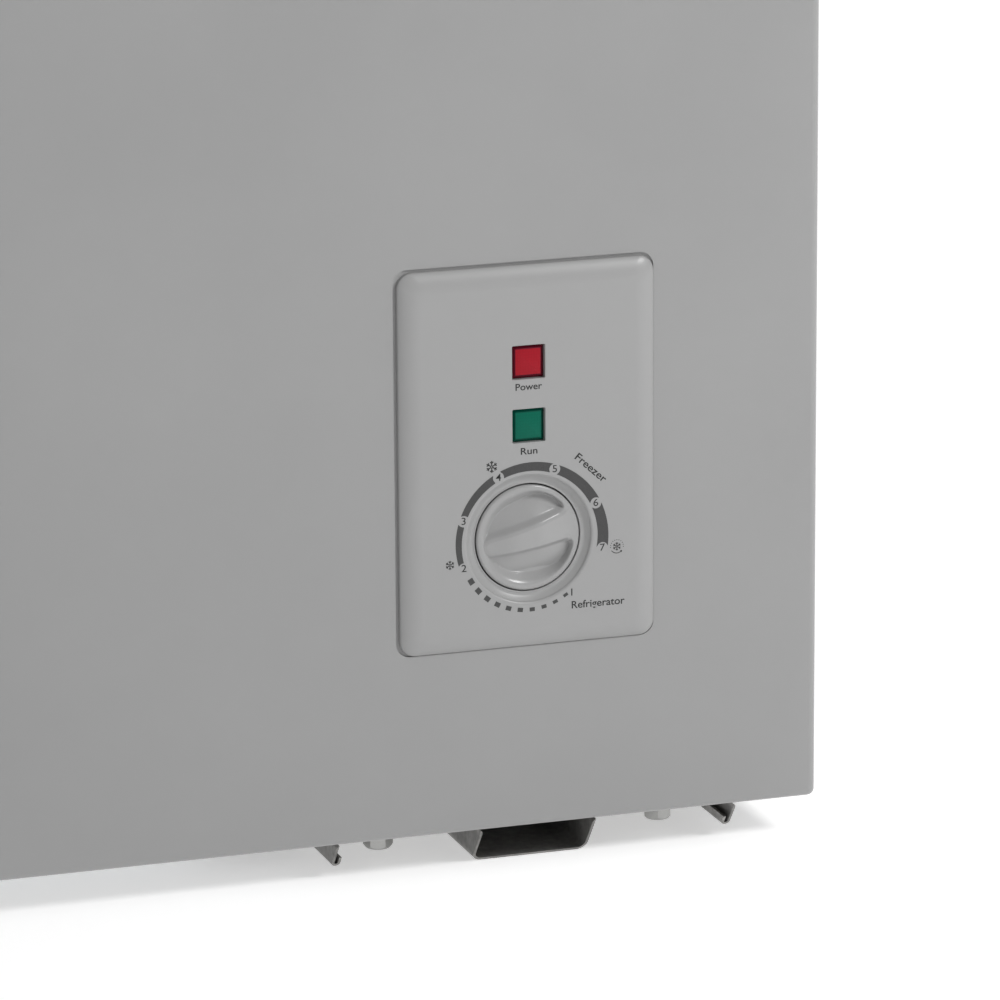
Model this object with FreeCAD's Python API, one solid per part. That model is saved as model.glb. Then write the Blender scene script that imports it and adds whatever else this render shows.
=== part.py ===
"""Chest freezer, 200 litre class, as an assembly of separate named pieces.

Row frame: +Z up, the front faces -Y, +X is to the right as seen from the front.
The origin is on the floor, under the centre of the freezer's bounding box. Millimetres.
"""

import FreeCAD
import Part

import math
import os

Vector = FreeCAD.Vector

# ---------------------------------------------------------------- driving dimensions
CABINET_WIDTH = 935.0
CABINET_DEPTH = 545.0
FLOOR_GAP = 16.0            # height of the foot rails under the cabinet
RIM_HEIGHT = 788.0          # top of the plastic rim that the gasket closes on
LID_BOTTOM = 795.0
LID_TOP = 850.0
LID_SIDE_OVERHANG = 5.0
LID_FRONT_OVERHANG = 6.0
REACH = 28.0                # handle in front, hinges and spacers behind
WALL = 60.0                 # insulated wall, outer face to inner face
SHEET = 0.8                 # painted cabinet sheet
BACK_SHEET = 0.7
LINER_SHEET = 1.0
CORNER_RADIUS = 3.5         # front vertical bends of the cabinet
BOTTOM_BEND = 2.6
RIM_THICKNESS = 4.0

BAY_WIDTH = 232.5           # machine compartment, at the right end
BAY_HEIGHT = 246.0
BAY_FOAM = 45.0
WELL_FLOOR = 62.0           # floor thickness over the cabinet's bottom

RAIL_WIDTH = 161.6
RAIL_SHEET = 1.0
RAIL_CHANNEL = 46.6
RAIL_LIP = 10.8
RAIL_CURL = 2.4             # how far a lip turns in, on the sheet's centre line
RAIL_INSET = 1.0            # rail end behind the cabinet's face
RAIL_SLANT = 13.0           # how far the rail's bottom is trimmed back
RAIL_NOTCH = 8.0            # how far the flanges stop short of the rail's end
RAIL_OFFSET = 113.4         # rail centre from the cabinet's side
RAIL_BOLT_HALF = 56.9
RAIL_BOLT_SHIFT = -1.6      # bolts off the rail's centre line
RAIL_BOLT_INSET = 21.0
BOLT_TURNS = (-17.0, 13.0, 6.0, -24.0)

PLATE_WIDTH = 101.4
PLATE_HEIGHT = 148.0
PLATE_PROUD = 3.5
PLATE_BEVEL = 8.5
PLATE_CORNER = 6.0
PLATE_RIGHT_INSET = 67.5    # plate's right edge from the cabinet's side
PLATE_LIFT = 72.0           # plate's bottom edge over the cabinet's bottom
LAMP_SIZE = 13.0
LAMP_DROPS = (36.9, 61.4)   # lamp centres below the plate's top edge
KNOB_RADIUS = 20.5
KNOB_LIFT = 42.6            # knob axis over the plate's bottom edge
KNOB_RIM_DEPTH = 1.8        # knob's rim behind the plate's face
KNOB_BAR_RISE = 4.8         # grip bar's top over the rim
KNOB_AXIS_TILT = 7.3        # grip bar's angle over the horizontal, degrees
DISH_RADIUS = 24.6
DISH_DEPTH = 2.6
KNOB_GAP = 0.5              # running gap round the knob

# ---------------------------------------------------------------- places worked out from them
LEFT, RIGHT = -CABINET_WIDTH / 2, CABINET_WIDTH / 2
FRONT, BACK = -CABINET_DEPTH / 2, CABINET_DEPTH / 2
BOTTOM = FLOOR_GAP
SHELL_TOP = RIM_HEIGHT - RIM_THICKNESS
WELL_LEFT, WELL_RIGHT = LEFT + WALL, RIGHT - WALL
WELL_FRONT, WELL_BACK = FRONT + WALL, BACK - WALL
WELL_BOTTOM = BOTTOM + WELL_FLOOR
BAY_LEFT = RIGHT - BAY_WIDTH
BAY_TOP = BOTTOM + BAY_HEIGHT
STEP_X = BAY_LEFT - BAY_FOAM
STEP_Z = BAY_TOP + BAY_FOAM
RAIL_X = RIGHT - RAIL_OFFSET
PLATE_X = RIGHT - PLATE_RIGHT_INSET - PLATE_WIDTH / 2
PLATE_Z = BOTTOM + PLATE_LIFT
KNOB_X = PLATE_X
KNOB_Z = PLATE_Z + KNOB_LIFT
LID_FRONT = FRONT - LID_FRONT_OVERHANG
HINGE_Y, HINGE_Z = BACK + 15.0, LID_BOTTOM - 1.0
HINGE_XS = {"left": -300.0, "right": 300.0}
COMPRESSOR_Y = 120.0
STRIKE_SCREWS, STRIKE_SCREW_Z = (10.0, 22.0), 775.0

os.makedirs("parts", exist_ok=True)


# ---------------------------------------------------------------- helpers
def box(x0, x1, y0, y1, z0, z1):
    """Axis-aligned block between two corners."""
    return Part.makeBox(x1 - x0, y1 - y0, z1 - z0, Vector(x0, y0, z0))


def rod(radius, start, end):
    """Round bar from one point to another."""
    start, end = Vector(*start), Vector(*end)
    return Part.makeCylinder(radius, (end - start).Length, start, end - start)


def ring(outer, inner, start, end):
    """Round tube from one point to another."""
    return rod(outer, start, end).cut(rod(inner, start, end))


def edges_where(shape, test):
    """Edges whose midpoint passes a test and that are straight."""
    found = []
    for edge in shape.Edges:
        a, b = edge.Vertexes[0].Point, edge.Vertexes[-1].Point
        if isinstance(edge.Curve, Part.Line) and test((a + b) * 0.5, (b - a).normalize()):
            found.append(edge)
    return found


def near(a, b, slack=0.01):
    return abs(a - b) < slack


def round_upright(shape, radius):
    """Fillets every upright edge of a prism."""
    return shape.makeFillet(radius, edges_where(shape, lambda m, d: near(abs(d.z), 1.0)))


def frame_ring(x, y, z0, z1, width, radius=0.0):
    """Rectangular ring centred on the origin: half sizes x and y, with a wall of the given width."""
    outer = box(-x, x, -y, y, z0, z1)
    if radius:
        outer = round_upright(outer, radius)
    return outer.cut(box(width - x, x - width, width - y, y - width, z0 - 1, z1 + 1))


def rounded_plate(x, z, width, height, radius, y0, y1):
    """Upright rounded rectangle, centred on x and standing on z, between two depths."""
    body = box(x - width / 2, x + width / 2, y0, y1, z, z + height)
    corners = edges_where(body, lambda m, d: near(abs(d.y), 1.0))
    return body.makeFillet(radius, corners)


def rounded_path(points, radii):
    """Wire of straight runs joined by tangent arcs. radii is one number or one for each inner point."""
    points = [Vector(*p) for p in points]
    inner = len(points) - 2
    radii = [radii] * inner if isinstance(radii, (int, float)) else radii
    edges, last = [], points[0]
    for i in range(1, len(points) - 1):
        to_last = (points[i - 1] - points[i]).normalize()
        to_next = (points[i + 1] - points[i]).normalize()
        half = to_last.getAngle(to_next) / 2
        reach = radii[i - 1] / math.tan(half)
        start, end = points[i] + to_last * reach, points[i] + to_next * reach
        middle = (to_last + to_next).normalize()
        top = points[i] + middle * (radii[i - 1] / math.sin(half) - radii[i - 1])
        if (start - last).Length > 0.001:
            edges.append(Part.LineSegment(last, start).toShape())
        edges.append(Part.Arc(start, top, end).toShape())
        last = end
    edges.append(Part.LineSegment(last, points[-1]).toShape())
    return Part.Wire(edges)


def pipe(points, radii, radius):
    """Round tube or wire of the given radius, along straight runs joined by arcs."""
    path = rounded_path(points, radii)
    first = Vector(*points[0])
    along = (Vector(*points[1]) - first).normalize()
    section = Part.Wire([Part.Circle(first, along, radius).toShape()])
    return path.makePipeShell([section], True, False)


def strip_profile(points, radii, thickness):
    """End face of bent sheet in the X-Z plane: a centre line with bend radii, thickened both ways."""
    flat = [Vector(x, 0, z) for x, z in points]
    runs = [(b - a).normalize() for a, b in zip(flat, flat[1:])]
    sides = []
    for sign in (1, -1):
        normals = [Vector(-r.z, 0, r.x) * (sign * thickness / 2) for r in runs]
        edges, last = [], flat[0] + normals[0]
        for i, radius in enumerate(radii, start=1):
            half = runs[i - 1].getAngle(runs[i]) / 2
            turn = 1 if runs[i - 1].x * runs[i].z - runs[i - 1].z * runs[i].x > 0 else -1
            reach = radius * math.tan(half)
            normal = Vector(-runs[i - 1].z, 0, runs[i - 1].x)
            centre = flat[i] - runs[i - 1] * reach + normal * (turn * radius)
            start = flat[i] - runs[i - 1] * reach + normals[i - 1]
            end = flat[i] + runs[i] * reach + normals[i]
            outward = ((start - centre) + (end - centre)).normalize()
            edges.append(Part.LineSegment(last, start).toShape())
            edges.append(Part.Arc(start, centre + outward * (start - centre).Length, end).toShape())
            last = end
        edges.append(Part.LineSegment(last, flat[-1] + normals[-1]).toShape())
        sides.append((edges, flat[0] + normals[0], flat[-1] + normals[-1]))
    caps = [Part.LineSegment(sides[0][1], sides[1][1]).toShape(),
            Part.LineSegment(sides[0][2], sides[1][2]).toShape()]
    outline = Part.Wire(Part.__sortEdges__(sides[0][0] + sides[1][0] + caps))
    return Part.Face(outline)


def hexagon(across, start, end):
    """Hexagonal prism between two points on an upright or level axis."""
    start, end = Vector(*start), Vector(*end)
    axis = (end - start).normalize()
    side = Vector(1, 0, 0) if abs(axis.x) < 0.5 else Vector(0, 1, 0)
    other = axis.cross(side)
    r = across / math.sqrt(3)
    corners = []
    for k in range(7):
        angle = math.radians(60 * k)
        corners.append(start + side * (r * math.cos(angle)) + other * (r * math.sin(angle)))
    return Part.Face(Part.makePolygon(corners)).extrude(end - start)


def group(solids):
    return Part.makeCompound(solids)


def fuse(first, *others):
    return first.fuse(list(others)).removeSplitter()


def save(name, shape):
    """Writes one named piece, after making sure that it is closed and valid."""
    if not shape.isValid() or shape.Volume <= 0:
        raise ValueError(f"{name} is not a valid solid")
    shape.exportStep(f"parts/{name}.step")


# ---------------------------------------------------------------- cabinet
def outer_shell():
    """Front and both sides in one wrap of painted sheet, with a flange turned in under the bottom."""
    def wrap(inset, top, back):
        body = box(LEFT + inset, RIGHT - inset, FRONT + inset, back, BOTTOM + inset, top)
        upright = edges_where(body, lambda m, d: near(abs(d.z), 1.0) and near(m.y, FRONT + inset))
        body = body.makeFillet(CORNER_RADIUS - inset, upright)
        low = [e for e in body.Edges
               if near(e.BoundBox.ZMax, BOTTOM + inset) and e.BoundBox.YMin < back - 1]
        return body.makeFillet(BOTTOM_BEND - inset, low)

    shell = wrap(0.0, SHELL_TOP, BACK).cut(wrap(SHEET, SHELL_TOP + 5, BACK + 5))
    side_flange, front_flange = 20.0, 36.0
    shell = shell.cut(box(LEFT + side_flange, RIGHT - side_flange, FRONT + front_flange, BACK + 1, 0,
                          BOTTOM + 3))
    shell = shell.cut(plate_opening())
    shell = shell.cut(box(RIGHT - 2, RIGHT + 2, *grille_y(), *grille_z()))
    for x, y in bolt_places(RAIL_X)[:2] + bolt_places(-RAIL_X)[:2]:
        shell = shell.cut(rod(3.3, (x, y, BOTTOM - 1), (x, y, BOTTOM + 2)))
    for x in STRIKE_SCREWS:
        shell = shell.cut(rod(1.7, (x, FRONT - 1, STRIKE_SCREW_Z), (x, FRONT + 3, STRIKE_SCREW_Z)))
    return shell


def plate_opening():
    """Hole in the front sheet for the control plate, a little larger to the left and top than the plate."""
    side_gap, top_gap = 0.8, 1.2
    return rounded_plate(PLATE_X - side_gap + 0.2, PLATE_Z - 0.3, PLATE_WIDTH + 2 * side_gap,
                         PLATE_HEIGHT + 0.3 + top_gap, 5.5, FRONT - 1, FRONT + 2)


def grille_y():
    return 40.0, 220.0


def grille_z():
    return 70.0, 215.0


def bolt_places(rail_x):
    """Rail bolts, the two at the front first."""
    centre_x = rail_x + RAIL_BOLT_SHIFT
    fronts = [(centre_x + s * RAIL_BOLT_HALF, FRONT + RAIL_BOLT_INSET) for s in (-1, 1)]
    return fronts + [(x, BACK - RAIL_BOLT_INSET) for x, _ in fronts]


def back_panel():
    """L-shaped galvanised sheet that leaves the machine compartment open at the rear."""
    y0 = BACK - BACK_SHEET
    sheet = box(LEFT + SHEET + 0.6, RIGHT - SHEET - 0.6, y0, BACK, BOTTOM + SHEET + 0.8, SHELL_TOP)
    sheet = sheet.cut(box(BAY_LEFT, RIGHT, y0 - 1, BACK + 1, 0, BAY_TOP))
    sheet = sheet.cut(rod(8.3, (DRAIN_X, y0 - 2, DRAIN_Z), (DRAIN_X, BACK + 2, DRAIN_Z)))
    for x in HINGE_XS.values():
        for dx, dz in HINGE_BODY_SCREWS:
            sheet = sheet.cut(rod(2.3, (x + dx, y0 - 2, dz), (x + dx, BACK + 2, dz)))
    return sheet


def bottom_panel():
    """Galvanised sheet under the insulated well, resting on the shell's flange."""
    z0 = BOTTOM + SHEET
    sheet = box(LEFT + 4, BAY_LEFT - SHEET, FRONT + 4, BACK - BACK_SHEET, z0, z0 + BACK_SHEET)
    for x, y in bolt_places(-RAIL_X):
        sheet = sheet.cut(rod(3.3, (x, y, z0 - 1), (x, y, z0 + 2)))
    return sheet


def bay_liner():
    """Bent sheet that divides the machine compartment from the foam: one wall and a ceiling."""
    wall = box(BAY_LEFT - SHEET, BAY_LEFT, FRONT + 4, BACK - BACK_SHEET, BOTTOM + SHEET, BAY_TOP)
    ceiling = box(BAY_LEFT - SHEET, RIGHT - SHEET - 0.2, FRONT + 4, BACK - BACK_SHEET, BAY_TOP,
                  BAY_TOP + SHEET)
    sheet = fuse(wall, ceiling)
    for radius, start, end in BAY_PASSES:
        sheet = sheet.cut(rod(radius, start, end))
    return sheet


def well_block(grow):
    """Stepped block of the storage well, grown outwards by a thickness."""
    lower = box(WELL_LEFT - grow, STEP_X + grow, WELL_FRONT - grow, WELL_BACK + grow, WELL_BOTTOM - grow,
                SHELL_TOP)
    upper = box(WELL_LEFT - grow, WELL_RIGHT + grow, WELL_FRONT - grow, WELL_BACK + grow, STEP_Z - grow,
                SHELL_TOP)
    block = fuse(lower, upper)
    radius = 14.0 + grow
    upright = edges_where(block, lambda m, d: near(abs(d.z), 1.0))
    return block.makeFillet(radius, upright)


def inner_liner():
    """Thin stepped tub that lines the well."""
    tub = well_block(LINER_SHEET).cut(well_block(0.0))
    return tub.cut(rod(8.3, (DRAIN_X, DRAIN_Y, WELL_BOTTOM - 5), (DRAIN_X, DRAIN_Y, WELL_BOTTOM + 5)))


def insulation_foam():
    """Rigid foam that fills the space between the cabinet and the liner."""
    skin = SHEET + 0.1
    body = box(LEFT + skin, RIGHT - skin, FRONT + skin, BACK - BACK_SHEET, BOTTOM + SHEET + BACK_SHEET,
               SHELL_TOP)
    front_edges = edges_where(body, lambda m, d: near(abs(d.z), 1.0) and m.y < 0)
    body = body.makeFillet(CORNER_RADIUS, front_edges)
    floor_z = BOTTOM + SHEET + BACK_SHEET
    low = edges_where(body, lambda m, d: near(m.z, floor_z) and (m.y < FRONT + 5 or near(abs(d.y), 1.0)))
    body = body.makeChamfer(3.0, low)
    body = body.cut(well_block(LINER_SHEET))
    body = body.cut(box(BAY_LEFT - SHEET, RIGHT + 1, FRONT - 1, BACK + 1, 0, BAY_TOP + SHEET))
    groove = 12.0
    body = body.cut(frame_ring(RIGHT - skin + 1, BACK + 1, SHELL_TOP - groove, SHELL_TOP + 1, 6.0))
    body = body.cut(frame_ring(WELL_RIGHT + 6.0, WELL_BACK + 6.0, SHELL_TOP - groove, SHELL_TOP + 1, 8.0))
    for x, y in bolt_places(-RAIL_X):
        body = body.cut(rod(4.0, (x, y, BOTTOM), (x, y, BOTTOM + 16)))
    return body.cut(pipe(drain_route(2.0), [18], 8.0))


def rim_frame():
    """Moulded collar over the foam, between the shell and the liner, with a leg down each side."""
    x, y = RIGHT, BACK
    top = frame_ring(x, y, SHELL_TOP, RIM_HEIGHT, WALL, CORNER_RADIUS)
    outer_leg = frame_ring(x - 1.2, y - 1.2, SHELL_TOP - 10, SHELL_TOP, 2.4, 3.0)
    inner_leg = frame_ring(WELL_RIGHT + 4.0, WELL_BACK + 4.0, SHELL_TOP - 10, SHELL_TOP, 2.4)
    collar = fuse(top, outer_leg, inner_leg)
    for screw_x in STRIKE_SCREWS:
        collar = collar.cut(rod(1.7, (screw_x, FRONT - 1, STRIKE_SCREW_Z),
                                (screw_x, FRONT + 5, STRIKE_SCREW_Z)))

    def on_ledge(middle, along):
        if abs(along.y) > 0.9:
            return near(middle.z, RIM_HEIGHT) and near(abs(middle.x), WELL_RIGHT)
        return near(middle.z, RIM_HEIGHT) and near(abs(middle.y), WELL_BACK)

    return collar.makeFillet(2.5, edges_where(collar, on_ledge))


# ---------------------------------------------------------------- foot rails
def rail(centre_x, extra_holes):
    """Hat-section rail: a central channel to stand on, two flanges and two lips curled inwards."""
    t = RAIL_SHEET
    flange_z = FLOOR_GAP - t / 2
    half, channel = RAIL_WIDTH / 2 - t / 2, RAIL_CHANNEL / 2 - t / 2
    low, lip_low, lip_in = t / 2, FLOOR_GAP - RAIL_LIP + t / 2, half - RAIL_CURL
    right_side = [(channel, low), (channel, flange_z), (half, flange_z), (half, lip_low), (lip_in, lip_low),
                  (lip_in, lip_low + 3.6)]
    points = [(-x, z) for x, z in reversed(right_side)] + right_side
    corner, fold, curl = 3.4, 1.8, 1.1
    side_radii = [corner, fold, fold, curl, curl]
    profile = strip_profile(points, list(reversed(side_radii[1:])) + [corner] * 2 + side_radii[1:], t)
    y0, y1 = FRONT + RAIL_INSET, BACK - RAIL_INSET
    profile.translate(Vector(centre_x, y0, 0))
    body = profile.extrude(Vector(0, y1 - y0, 0))
    for end, way in ((y0, 1), (y1, -1)):
        wedge = [(end, FLOOR_GAP), (end - way * 5, FLOOR_GAP), (end - way * 5, 0),
                 (end + way * RAIL_SLANT, 0)]
        face = Part.Face(Part.makePolygon([Vector(centre_x - 100, y, z) for y, z in wedge + wedge[:1]]))
        body = body.cut(face.extrude(Vector(200, 0, 0)))
        reach = sorted((end - way, end + way * RAIL_NOTCH))
        for side in (-1, 1):
            span = sorted((centre_x + side * (channel + t / 2), centre_x + side * (half - t / 2)))
            body = body.cut(box(*span, *reach, FLOOR_GAP - t - corner, FLOOR_GAP + 1))
    for x, y in bolt_places(centre_x) + extra_holes:
        body = body.cut(rod(3.3, (x, y, FLOOR_GAP - 3), (x, y, FLOOR_GAP + 1)))
    return body


def compressor_bolt_places():
    return [(RAIL_X + sx * 50.8, COMPRESSOR_Y + sy * 82.5) for sx in (-1, 1) for sy in (-1, 1)]


def flange_bolt(x, y, seat, length, turn):
    """Hexagon bolt screwed up from below: washer, flange, six-sided head with a chamfered end, and shank."""
    head = hexagon(10.0, (x, y, seat - 6.0), (x, y, seat - 1.0))
    head.rotate(Vector(x, y, seat), Vector(0, 0, 1), turn)
    chamfer = Part.makeCone(4.6, 9.0, 5.0, Vector(x, y, seat - 6.0))
    cap = head.common(fuse(chamfer, rod(9.0, (x, y, seat - 1.0 - 0.001), (x, y, seat))))
    flange = Part.makeCone(6.6, 5.9, 1.0, Vector(x, y, seat), Vector(0, 0, -1))
    shank = rod(3.0, (x, y, seat), (x, y, seat + length))
    washer = rod(7.0, (x, y, seat), (x, y, seat + 1.6))
    return fuse(cap, flange, shank, washer)


def rail_bolts():
    """Bolts of both rails."""
    seat = FLOOR_GAP - RAIL_SHEET - 1.6
    bolts = []
    for rail_x in (RAIL_X, -RAIL_X):
        for (x, y), turn in zip(bolt_places(rail_x), BOLT_TURNS):
            bolts.append(flange_bolt(x, y, seat, 12.0, turn))
    return group(bolts)


def rear_cross_member():
    """Upright strip across the rear of the machine compartment, with a foot over each rear rail bolt."""
    pieces = []
    for x, y in bolt_places(RAIL_X)[2:]:
        foot = box(x - 12, x + 12, y - 12, BACK - BACK_SHEET, BOTTOM, BOTTOM + 2)
        pieces.append(foot.cut(rod(3.2, (x, y, BOTTOM - 1), (x, y, BOTTOM + 3))))
    cross = box(BAY_LEFT + 1, RIGHT - 22, BACK - BACK_SHEET - 2, BACK - BACK_SHEET, BOTTOM, BOTTOM + 22)
    return fuse(cross, *pieces)


# ---------------------------------------------------------------- refrigeration circuit
EVAPORATOR_TUBE = 4.0
CONDENSER_TUBE = 2.4
DRAIN_X, DRAIN_Y, DRAIN_Z = -330.0, 150.0, BOTTOM + 30.0
COIL_X, COIL_Y = WELL_RIGHT + 7.0, WELL_BACK + 7.0
CONDENSER_Y = BACK - BACK_SHEET - CONDENSER_TUBE - 1.2
DRIER = Vector(RIGHT - 22.0, BACK - 28.0, 110.0)


def condenser_points():
    """Skin condenser behind the back sheet: eight level passes, with both ends down in the compartment."""
    left, right, pitch = LEFT + 30.0, RIGHT - 60.0, 60.0
    points = [(330.0, BAY_TOP - 22), (330.0, STEP_Z + 15)]
    z = STEP_Z + 15
    for k in range(8):
        x = left if k % 2 == 0 else right
        if k == 7:
            x = RIGHT - 30.0
        points.append((x, z))
        if k < 7:
            z += pitch
            points.append((x, z))
    points.append((RIGHT - 30.0, BAY_TOP - 30))
    return [(x, CONDENSER_Y, z) for x, z in points] + [DRIER + Vector(0, 0, 116), DRIER + Vector(0, 0, 90)]


def evaporator_points():
    """Tube wound round the liner: four turns below the step and seven above it, then the return."""
    pitch, low = 58.0, WELL_BOTTOM + 34.0
    narrow = STEP_X + 7.0
    points = [(BAY_LEFT + 24.0, -COIL_Y, low)]
    z = low
    for k in range(11):
        right = narrow if k < 4 else COIL_X
        if k:
            points.append((right, -COIL_Y, z))
        points += [(-COIL_X, -COIL_Y, z), (-COIL_X, COIL_Y, z)]
        if k < 10:
            points.append((narrow if k < 3 else COIL_X, COIL_Y, z))
            z += pitch
    points += [(COIL_X + 20.0, COIL_Y, z), (COIL_X + 20.0, COIL_Y, BAY_TOP - 20)]
    return points


SUCTION_X, SUCTION_Y = COIL_X + 20.0, COIL_Y
BAY_PASSES = [
    (EVAPORATOR_TUBE + 1.5, (BAY_LEFT - 3, -COIL_Y, WELL_BOTTOM + 34.0),
     (BAY_LEFT + 3, -COIL_Y, WELL_BOTTOM + 34.0)),
    (EVAPORATOR_TUBE + 1.5, (SUCTION_X, SUCTION_Y, BAY_TOP - 3), (SUCTION_X, SUCTION_Y, BAY_TOP + 3)),
    (CONDENSER_TUBE + 0.9, (330.0, CONDENSER_Y, BAY_TOP - 3), (330.0, CONDENSER_Y, BAY_TOP + 3)),
    (CONDENSER_TUBE + 0.9, (RIGHT - 30.0, CONDENSER_Y, BAY_TOP - 3),
     (RIGHT - 30.0, CONDENSER_Y, BAY_TOP + 3)),
    (2.5, (300.0, -150.0, BAY_TOP - 3), (300.0, -150.0, BAY_TOP + 3)),
]


def compressor():
    """Hermetic compressor: two pressed half shells round a motor and pump, on a foot plate."""
    x, y = RAIL_X, COMPRESSOR_Y
    plate_z = FLOOR_GAP + 12.0
    foot = box(x - 62, x + 62, y - 96, y + 96, plate_z, plate_z + 2.5)
    foot = round_upright(foot, 14.0)
    foot = foot.cut(box(x - 34, x + 34, y - 100, y - 72, plate_z - 1, plate_z + 4))
    foot = foot.cut(box(x - 34, x + 34, y + 72, y + 100, plate_z - 1, plate_z + 4))
    for hx, hy in compressor_bolt_places():
        foot = foot.cut(rod(7.2, (hx, hy, plate_z - 1), (hx, hy, plate_z + 4)))
    shell_z = plate_z + 2.5

    def can(half_x, half_y, z0, z1, corner, dome, at_top):
        body = round_upright(box(x - half_x, x + half_x, y - half_y, y + half_y, z0, z1), corner)
        level = z1 if at_top else z0
        rim = [e for e in body.Edges if near(e.BoundBox.ZMax, level) and near(e.BoundBox.ZMin, level)]
        return body.makeFillet(dome, rim)

    seam = shell_z + 88
    lower = can(66, 88, shell_z, seam, 58, 26, False)
    lower = lower.cut(can(63, 85, shell_z + 3, seam + 30, 55, 23, False))
    upper = can(62.9, 84.9, seam - 9, seam + 82, 54.9, 44, True)
    upper = upper.cut(can(60.1, 82.1, seam - 40, seam + 79.2, 52.1, 41.2, True))
    stator = round_upright(box(x - 44, x + 44, y - 56, y + 56, shell_z + 30, shell_z + 92), 16)
    pump = fuse(rod(34, (x, y, shell_z + 92), (x, y, shell_z + 122)),
                rod(18, (x, y, shell_z + 20), (x, y, shell_z + 30)))
    legs = [rod(5, (x + sx * 30, y + sy * 34, shell_z + 3), (x + sx * 30, y + sy * 34, shell_z + 30))
            for sx in (-1, 1) for sy in (-1, 1)]
    return fuse(foot, lower), upper, fuse(stator, pump, *legs)


def compressor_mounts():
    """Rubber grommets, and the bolt and nut through each one."""
    grommets, bolts = [], []
    plate_z = FLOOR_GAP + 12.0
    for x, y in compressor_bolt_places():
        bush = fuse(rod(11, (x, y, FLOOR_GAP), (x, y, plate_z)),
                    rod(7.0, (x, y, plate_z), (x, y, plate_z + 2.5)),
                    rod(10, (x, y, plate_z + 2.5), (x, y, plate_z + 6.5)))
        grommets.append(bush.cut(rod(3.2, (x, y, 0), (x, y, 60))))
        seat = FLOOR_GAP - RAIL_SHEET
        bolt = fuse(hexagon(10, (x, y, seat - 4), (x, y, seat)),
                    rod(3.0, (x, y, seat), (x, y, plate_z + 16)))
        nut = fuse(ring(8.5, 3.0, (x, y, plate_z + 6.5), (x, y, plate_z + 8)),
                   hexagon(10, (x, y, plate_z + 8), (x, y, plate_z + 13)).cut(
                       rod(3.0, (x, y, 0), (x, y, 90))))
        bolts.append(fuse(bolt, nut))
    return group(grommets), group(bolts)


def circuit_pieces():
    """Relay box, pipes between compressor, condenser and evaporator, filter drier and capillary."""
    x, y = RAIL_X, COMPRESSOR_Y
    body_left, body_front = x - 66, y - 88
    relay = round_upright(box(body_left - 34, body_left - 0.2, y - 28, y + 28, 62, 122), 5)
    suction = pipe([(SUCTION_X, SUCTION_Y, BAY_TOP - 20), (SUCTION_X, SUCTION_Y, 200),
                    (SUCTION_X, y + 40, 200), (SUCTION_X, y + 40, 84),
                    (x + 66.2, y + 40, 84)], [14, 14, 14], EVAPORATOR_TUBE)
    discharge = pipe([(330.0, CONDENSER_Y, BAY_TOP - 22), (330.0, CONDENSER_Y, 220),
                      (270.0, CONDENSER_Y - 12, 220),
                      (262.0, y + 62, 220), (262.0, y + 62, 90), (x - 60, y + 62, 90)],
                     [12, 12, 12, 12], CONDENSER_TUBE)
    process = pipe([(x, body_front - 0.05, 96), (x, body_front - 22, 96), (x, body_front - 22, 150)],
                   [9], 3.0)
    up = Vector(0, 0, 1)
    low, high = DRIER + up * 12, DRIER + up * 78
    drier = fuse(rod(9.0, low, high), Part.makeCone(9.0, CONDENSER_TUBE + 0.6, 12, high, up),
                 Part.makeCone(9.0, 1.6, 12, low, up * -1))
    inlet_x, inlet_z = BAY_LEFT + 40.0, WELL_BOTTOM + 34.0
    capillary = pipe([DRIER, (DRIER.x, DRIER.y, 70), (DRIER.x + 2, 0, 60), (inlet_x, -100, 60),
                      (inlet_x, -COIL_Y, 60),
                      (inlet_x, -COIL_Y, inlet_z), (inlet_x - 16.0, -COIL_Y, inlet_z)],
                     [12, 14, 14, 12, 7], 1.2)
    return {"start_relay_box": relay, "suction_line": suction, "discharge_line": discharge,
            "process_tube": process, "filter_drier": drier, "capillary_tube": capillary}


# ---------------------------------------------------------------- drain
def drain_route(extra=0.0):
    """Corners of the drain pipe, run on by an extra length at both ends."""
    return [(DRAIN_X, DRAIN_Y, WELL_BOTTOM + extra), (DRAIN_X, DRAIN_Y, DRAIN_Z),
            (DRAIN_X, BACK + 9.0 + extra, DRAIN_Z)]


def drain():
    """Pipe from the well's floor to the back, the plug in the floor and the cap on the outlet."""
    outer, inner, wall_end = 8.0, 6.0, BACK + 9.0
    tube = pipe(drain_route(), [18], outer).cut(pipe(drain_route(5.0), [18], inner))
    plug = fuse(rod(5.8, (DRAIN_X, DRAIN_Y, WELL_BOTTOM - 9), (DRAIN_X, DRAIN_Y, WELL_BOTTOM + 0.3)),
                rod(13, (DRAIN_X, DRAIN_Y, WELL_BOTTOM + 0.3), (DRAIN_X, DRAIN_Y, WELL_BOTTOM + 3.3)),
                box(DRAIN_X - 9, DRAIN_X + 9, DRAIN_Y - 1.5, DRAIN_Y + 1.5, WELL_BOTTOM + 3.3,
                    WELL_BOTTOM + 12))
    cap = rod(10.4, (DRAIN_X, BACK + 1.0, DRAIN_Z), (DRAIN_X, wall_end + 2.5, DRAIN_Z))
    cap = cap.cut(rod(outer + 0.1, (DRAIN_X, BACK, DRAIN_Z), (DRAIN_X, wall_end + 0.2, DRAIN_Z)))
    return tube, plug, cap


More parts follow.
